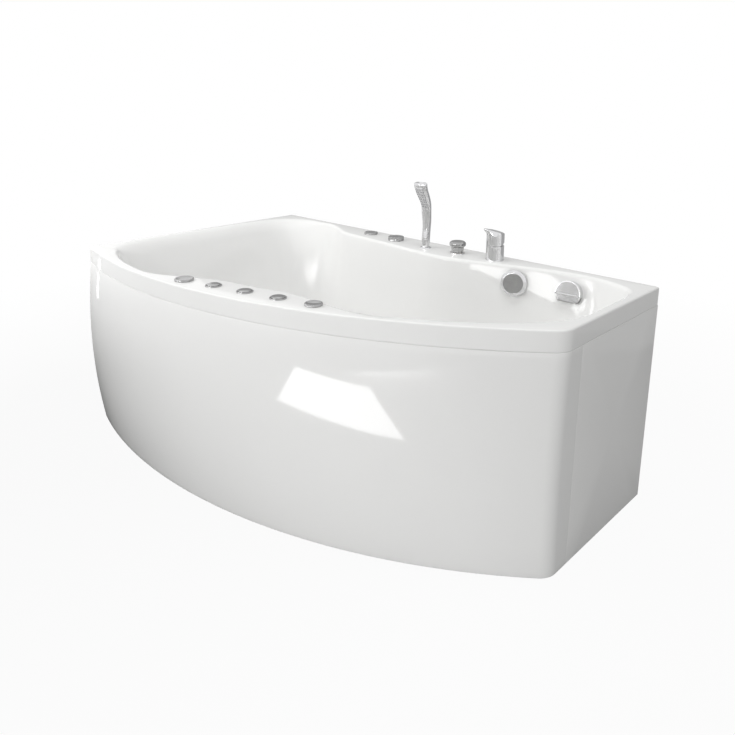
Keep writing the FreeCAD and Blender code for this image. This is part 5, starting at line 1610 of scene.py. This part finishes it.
def floor_material(stage):
    """Pale floor with the tub's shadow and a painted shade at its front left, and plain white where it is
    seen far off.
    """
    material, tree, surface = bare_material("Studio floor")
    lit = tree.nodes.new("ShaderNodeBsdfDiffuse")
    white = tree.nodes.new("ShaderNodeEmission")
    # Painted shade: the floor's colour darkens towards a spot at its front left, beside the tub
    apart = distance_to(tree, stage.painted_shade_middle)
    shaded_floor_colour = range_node(tree, apart, stage.painted_shade_near, stage.painted_shade_far, stage.painted_shade_share,
                        stage.bounce_high_share)
    tree.links.new(shaded_floor_colour, lit.inputs["Color"])
    away = distance_to(tree, (0, 0, 0))
    straight = range_node(tree, away, stage.floor_near, stage.floor_far, stage.floor_white_share, 1.0)
    bounced = range_node(tree, away, stage.mirror_near, stage.mirror_far, stage.mirror_white_share, 1.0)
    seen, mirrored = seen_rays(tree)
    whites = [math_node(tree, "MULTIPLY", seen, straight), math_node(tree, "MULTIPLY", mirrored, bounced)]
    share = math_node(tree, "MAXIMUM", *whites)
    mix_shaders(tree, share, lit.outputs["BSDF"], white.outputs["Emission"], surface)
    return material


def glow_material(name, hue, strength):
    """Plain glow of a card or a screen."""
    material, tree, surface = bare_material(name)
    glow = tree.nodes.new("ShaderNodeEmission")
    glow.inputs["Color"].default_value = (*hue, 1)
    glow.inputs["Strength"].default_value = strength
    tree.links.new(glow.outputs["Emission"], surface)
    return material


def add_sheet(name, corners, material, only_mirrored):
    """A flat piece of the studio, shown to all rays or to reflections alone."""
    mesh = bpy.data.meshes.new(name)
    mesh.from_pydata(corners, [], [tuple(range(len(corners)))])
    mesh.materials.append(material)
    sheet = bpy.data.objects.new(name, mesh)
    bpy.context.scene.collection.objects.link(sheet)
    if only_mirrored:
        sheet.visible_camera = False
        sheet.visible_diffuse = False
        sheet.visible_shadow = False
        sheet.visible_transmission = False


def make_floor():
    """Wide level floor under the tub."""
    stage = bpy.context.scene.bath_stage
    half = stage.floor_half
    corners = [(-half, -half, 0), (half, -half, 0), (half, half, 0), (-half, half, 0)]
    add_sheet("studio_floor", corners, floor_material(stage), False)


def lying(*corners):
    """Corners of a card that lies just above the floor, from (x, y) pairs."""
    return [(x, y, CARD_LIFT) for x, y in corners]


def standing(wall, *corners):
    """Corners of an upright sheet at a distance along Y, from (x, z) pairs."""
    return [(x, wall, z) for x, z in corners]


CARD_LIFT = 0.004
CARD_WALL = -2.6
SCREEN_WALL = 1.7
LIGHT_CARDS = {
    "floor_card": lying((-0.007, -1.303), (0.009, -2.144), (0.70, -1.62), (0.717, -0.818)),
    "near_card": standing(CARD_WALL, (0.48, 0.70), (0.48, 1.30), (-0.10, 1.30), (-0.10, 0.70)),
    "middle_card": standing(CARD_WALL, (-0.76, 0.70), (-0.76, 1.30), (-1.60, 1.30), (-1.60, 1.06),
                            (-1.08, 0.96), (-0.95, 0.70)),
    "streak_card": standing(CARD_WALL, (-2.50, 0.95), (-2.22, 0.95), (-2.28, 1.17), (-1.98, 1.36),
                            (-2.24, 1.36), (-2.56, 1.17)),
    "high_card": standing(CARD_WALL, (-0.25, 2.07), (-0.25, 1.62), (-1.9, 1.42), (-1.9, 1.52),
                          (-0.89, 1.83)),
    "corner_card": lying((-2.6, -0.62), (-2.6, -0.65), (-3.9, -0.79), (-3.9, -0.75)),
}
BACK_SCREEN = standing(SCREEN_WALL, (-3.6, 0.0), (4.0, 0.0), (4.0, 1.9), (-3.6, 1.9))


def make_cards():
    """Bright cards and a grey screen, which show in the gloss of the acrylic and the chrome."""
    bright = glow_material("Light card", (1, 1, 1), bpy.context.scene.bath_stage.card_glow)
    grey = glow_material("Grey screen", bpy.context.scene.bath_colours.screen, 1)
    for name, corners in LIGHT_CARDS.items():
        add_sheet(name, corners, bright, True)
    add_sheet("back_screen", BACK_SCREEN, grey, True)


SKY_HEADING = (0.30, -0.90, 0.30)


def make_world():
    """Soft light from all round, stronger from the front, and plain white behind the tub."""
    stage = bpy.context.scene.bath_stage
    world = bpy.data.worlds.new("Studio")
    bpy.context.scene.world = world
    world.use_nodes = True
    tree = world.node_tree
    light = tree.nodes["Background"]
    white = tree.nodes.new("ShaderNodeBackground")
    for background in (light, white):
        background.inputs["Color"].default_value = (1, 1, 1, 1)
    place = tree.nodes.new("ShaderNodeTexCoord")
    towards = tree.nodes.new("ShaderNodeVectorMath")
    towards.operation = "DOT_PRODUCT"
    towards.inputs[1].default_value = SKY_HEADING
    tree.links.new(place.outputs["Generated"], towards.inputs[0])
    slope = math_node(tree, "MULTIPLY", towards.outputs["Value"], stage.sky_slope)
    tree.links.new(math_node(tree, "ADD", slope, stage.sky), light.inputs["Strength"])
    share = math_node(tree, "MAXIMUM", *seen_rays(tree))
    surface = tree.nodes["World Output"].inputs["Surface"]
    mix_shaders(tree, share, light.outputs["Background"], white.outputs["Background"], surface)


def add_softbox(name, place, aim, width, height, power):
    """An area lamp whose light is soft and whose own shape shows in no reflection."""
    lamp = bpy.data.lights.new(name, "AREA")
    lamp.shape = "RECTANGLE"
    lamp.size = width
    lamp.size_y = height
    lamp.energy = power
    holder = bpy.data.objects.new(name, lamp)
    holder.location = place
    holder.rotation_mode = "QUATERNION"
    holder.rotation_quaternion = (Vector(aim) - Vector(place)).to_track_quat("-Z", "Y")
    holder.visible_glossy = False
    bpy.context.scene.collection.objects.link(holder)


SOFTBOXES = {
    "key": dict(place=(-2.0, -1.7, 1.8), aim=(-0.5, -0.3, 0.5), width=1.6, height=1.2, power=36.0),
    "front_fill": dict(place=(1.0, -2.0, 0.15), aim=(0.5, 0, 0.15), width=0.8, height=0.3, power=12.0),
    "top": dict(place=(0.40, 0.0, 3.0), aim=(0, 0, 0.5), width=0.6, height=2.0, power=24.0),
}
SENSOR_MILLIMETRES = 36


def make_camera():
    """Camera that sees the tub as the photograph does."""
    stage = bpy.context.scene.bath_stage
    lens = bpy.data.cameras.new("photo_camera")
    lens.sensor_width = SENSOR_MILLIMETRES
    lens.lens = stage.lens
    lens.shift_y = stage.shift
    holder = bpy.data.objects.new("photo_camera", lens)
    holder.location = stage.camera
    level = math.cos(stage.pitch)
    ahead = (math.sin(stage.heading) * level, math.cos(stage.heading) * level, -math.sin(stage.pitch))
    holder.rotation_mode = "QUATERNION"
    holder.rotation_quaternion = Vector(ahead).to_track_quat("-Z", "Y")
    bpy.context.scene.collection.objects.link(holder)
    bpy.context.scene.camera = holder


def make_stage():
    """Floor, cards, soft light and camera of a plain studio."""
    make_floor()
    make_cards()
    make_world()
    for name, values in SOFTBOXES.items():
        add_softbox(name, **values)
    make_camera()
    bpy.context.scene.view_settings.view_transform = "Standard"


# Operators


class BATH_OT_finishes(bpy.types.Operator):
    """Give the CAD nodes their finishes"""

    bl_idname = "bath.finishes"
    bl_label = "Finishes"

    def execute(self, context):
        dress_nodes()
        return {"FINISHED"}


class BATH_OT_tub_shell(bpy.types.Operator):
    """Build the acrylic tub with its rim and basin"""

    bl_idname = "bath.tub_shell"
    bl_label = "Tub shell"

    def execute(self, context):
        make_tub_shell()
        return {"FINISHED"}


class BATH_OT_panels(bpy.types.Operator):
    """Build the bowed front panel and the flat end panel"""

    bl_idname = "bath.panels"
    bl_label = "Panels"

    def execute(self, context):
        make_front_panel()
        make_end_panel()
        return {"FINISHED"}


class BATH_OT_controls(bpy.types.Operator):
    """Build the turning controls and the push buttons on the rim"""

    bl_idname = "bath.controls"
    bl_label = "Controls"

    def execute(self, context):
        for node, ribbed in TURNERS.items():
            make_turner(node, ribbed)
        for node in BUTTONS:
            make_button(node)
        make_sleeves()
        return {"FINISHED"}


class BATH_OT_spouts(bpy.types.Operator):
    """Build the overflow cap and the filler hood on the back wall"""

    bl_idname = "bath.spouts"
    bl_label = "Overflow and filler"

    def execute(self, context):
        make_overflow_cap()
        make_filler_hood()
        return {"FINISHED"}


class BATH_OT_hand_shower(bpy.types.Operator):
    """Build the hand shower with its spray face and its socket"""

    bl_idname = "bath.hand_shower"
    bl_label = "Hand shower"

    def execute(self, context):
        make_hand_shower()
        make_spray_face()
        make_spray_nozzles()
        make_shower_socket()
        return {"FINISHED"}


class BATH_OT_taps(bpy.types.Operator):
    """Build the diverter knob and the mixer"""

    bl_idname = "bath.taps"
    bl_label = "Diverter and mixer"

    def execute(self, context):
        make_diverter_knob()
        make_diverter_ring()
        make_mixer_column()
        make_mixer_lever()
        return {"FINISHED"}


class BATH_OT_stage(bpy.types.Operator):
    """Set up the floor, the lights and the camera"""

    bl_idname = "bath.stage"
    bl_label = "Stage"

    def execute(self, context):
        make_stage()
        return {"FINISHED"}


OPERATORS = (BATH_OT_finishes, BATH_OT_tub_shell, BATH_OT_panels, BATH_OT_controls, BATH_OT_spouts,
             BATH_OT_hand_shower, BATH_OT_taps, BATH_OT_stage)


class BATH_PT_pieces(bpy.types.Panel):
    """The tub's pieces"""

    bl_idname = "BATH_PT_pieces"
    bl_label = "Bathtub"
    bl_space_type = "VIEW_3D"
    bl_region_type = "UI"
    bl_category = "Bathtub"

    def draw(self, context):
        for operator in OPERATORS:
            self.layout.operator(operator.bl_idname)


GROUPS = {"bath_tub": TubSizes, "bath_panels": PanelSizes, "bath_controls": ControlSizes,
          "bath_spouts": SpoutSizes, "bath_shower": ShowerSizes, "bath_taps": TapSizes,
          "bath_colours": FinishColours, "bath_stage": StageSizes}


def register():
    for cls in (*GROUPS.values(), *OPERATORS, BATH_PT_pieces):
        bpy.utils.register_class(cls)
    for name, group in GROUPS.items():
        setattr(bpy.types.Scene, name, PointerProperty(type=group))


def unregister():
    for name in GROUPS:
        delattr(bpy.types.Scene, name)
    for cls in (BATH_PT_pieces, *OPERATORS[::-1], *GROUPS.values()):
        bpy.utils.unregister_class(cls)


def main():
    register()
    bpy.ops.bath.finishes()
    bpy.ops.bath.tub_shell()
    bpy.ops.bath.panels()
    bpy.ops.bath.controls()
    bpy.ops.bath.spouts()
    bpy.ops.bath.hand_shower()
    bpy.ops.bath.taps()
    bpy.ops.bath.stage()


if __name__ == "__main__":
    main()
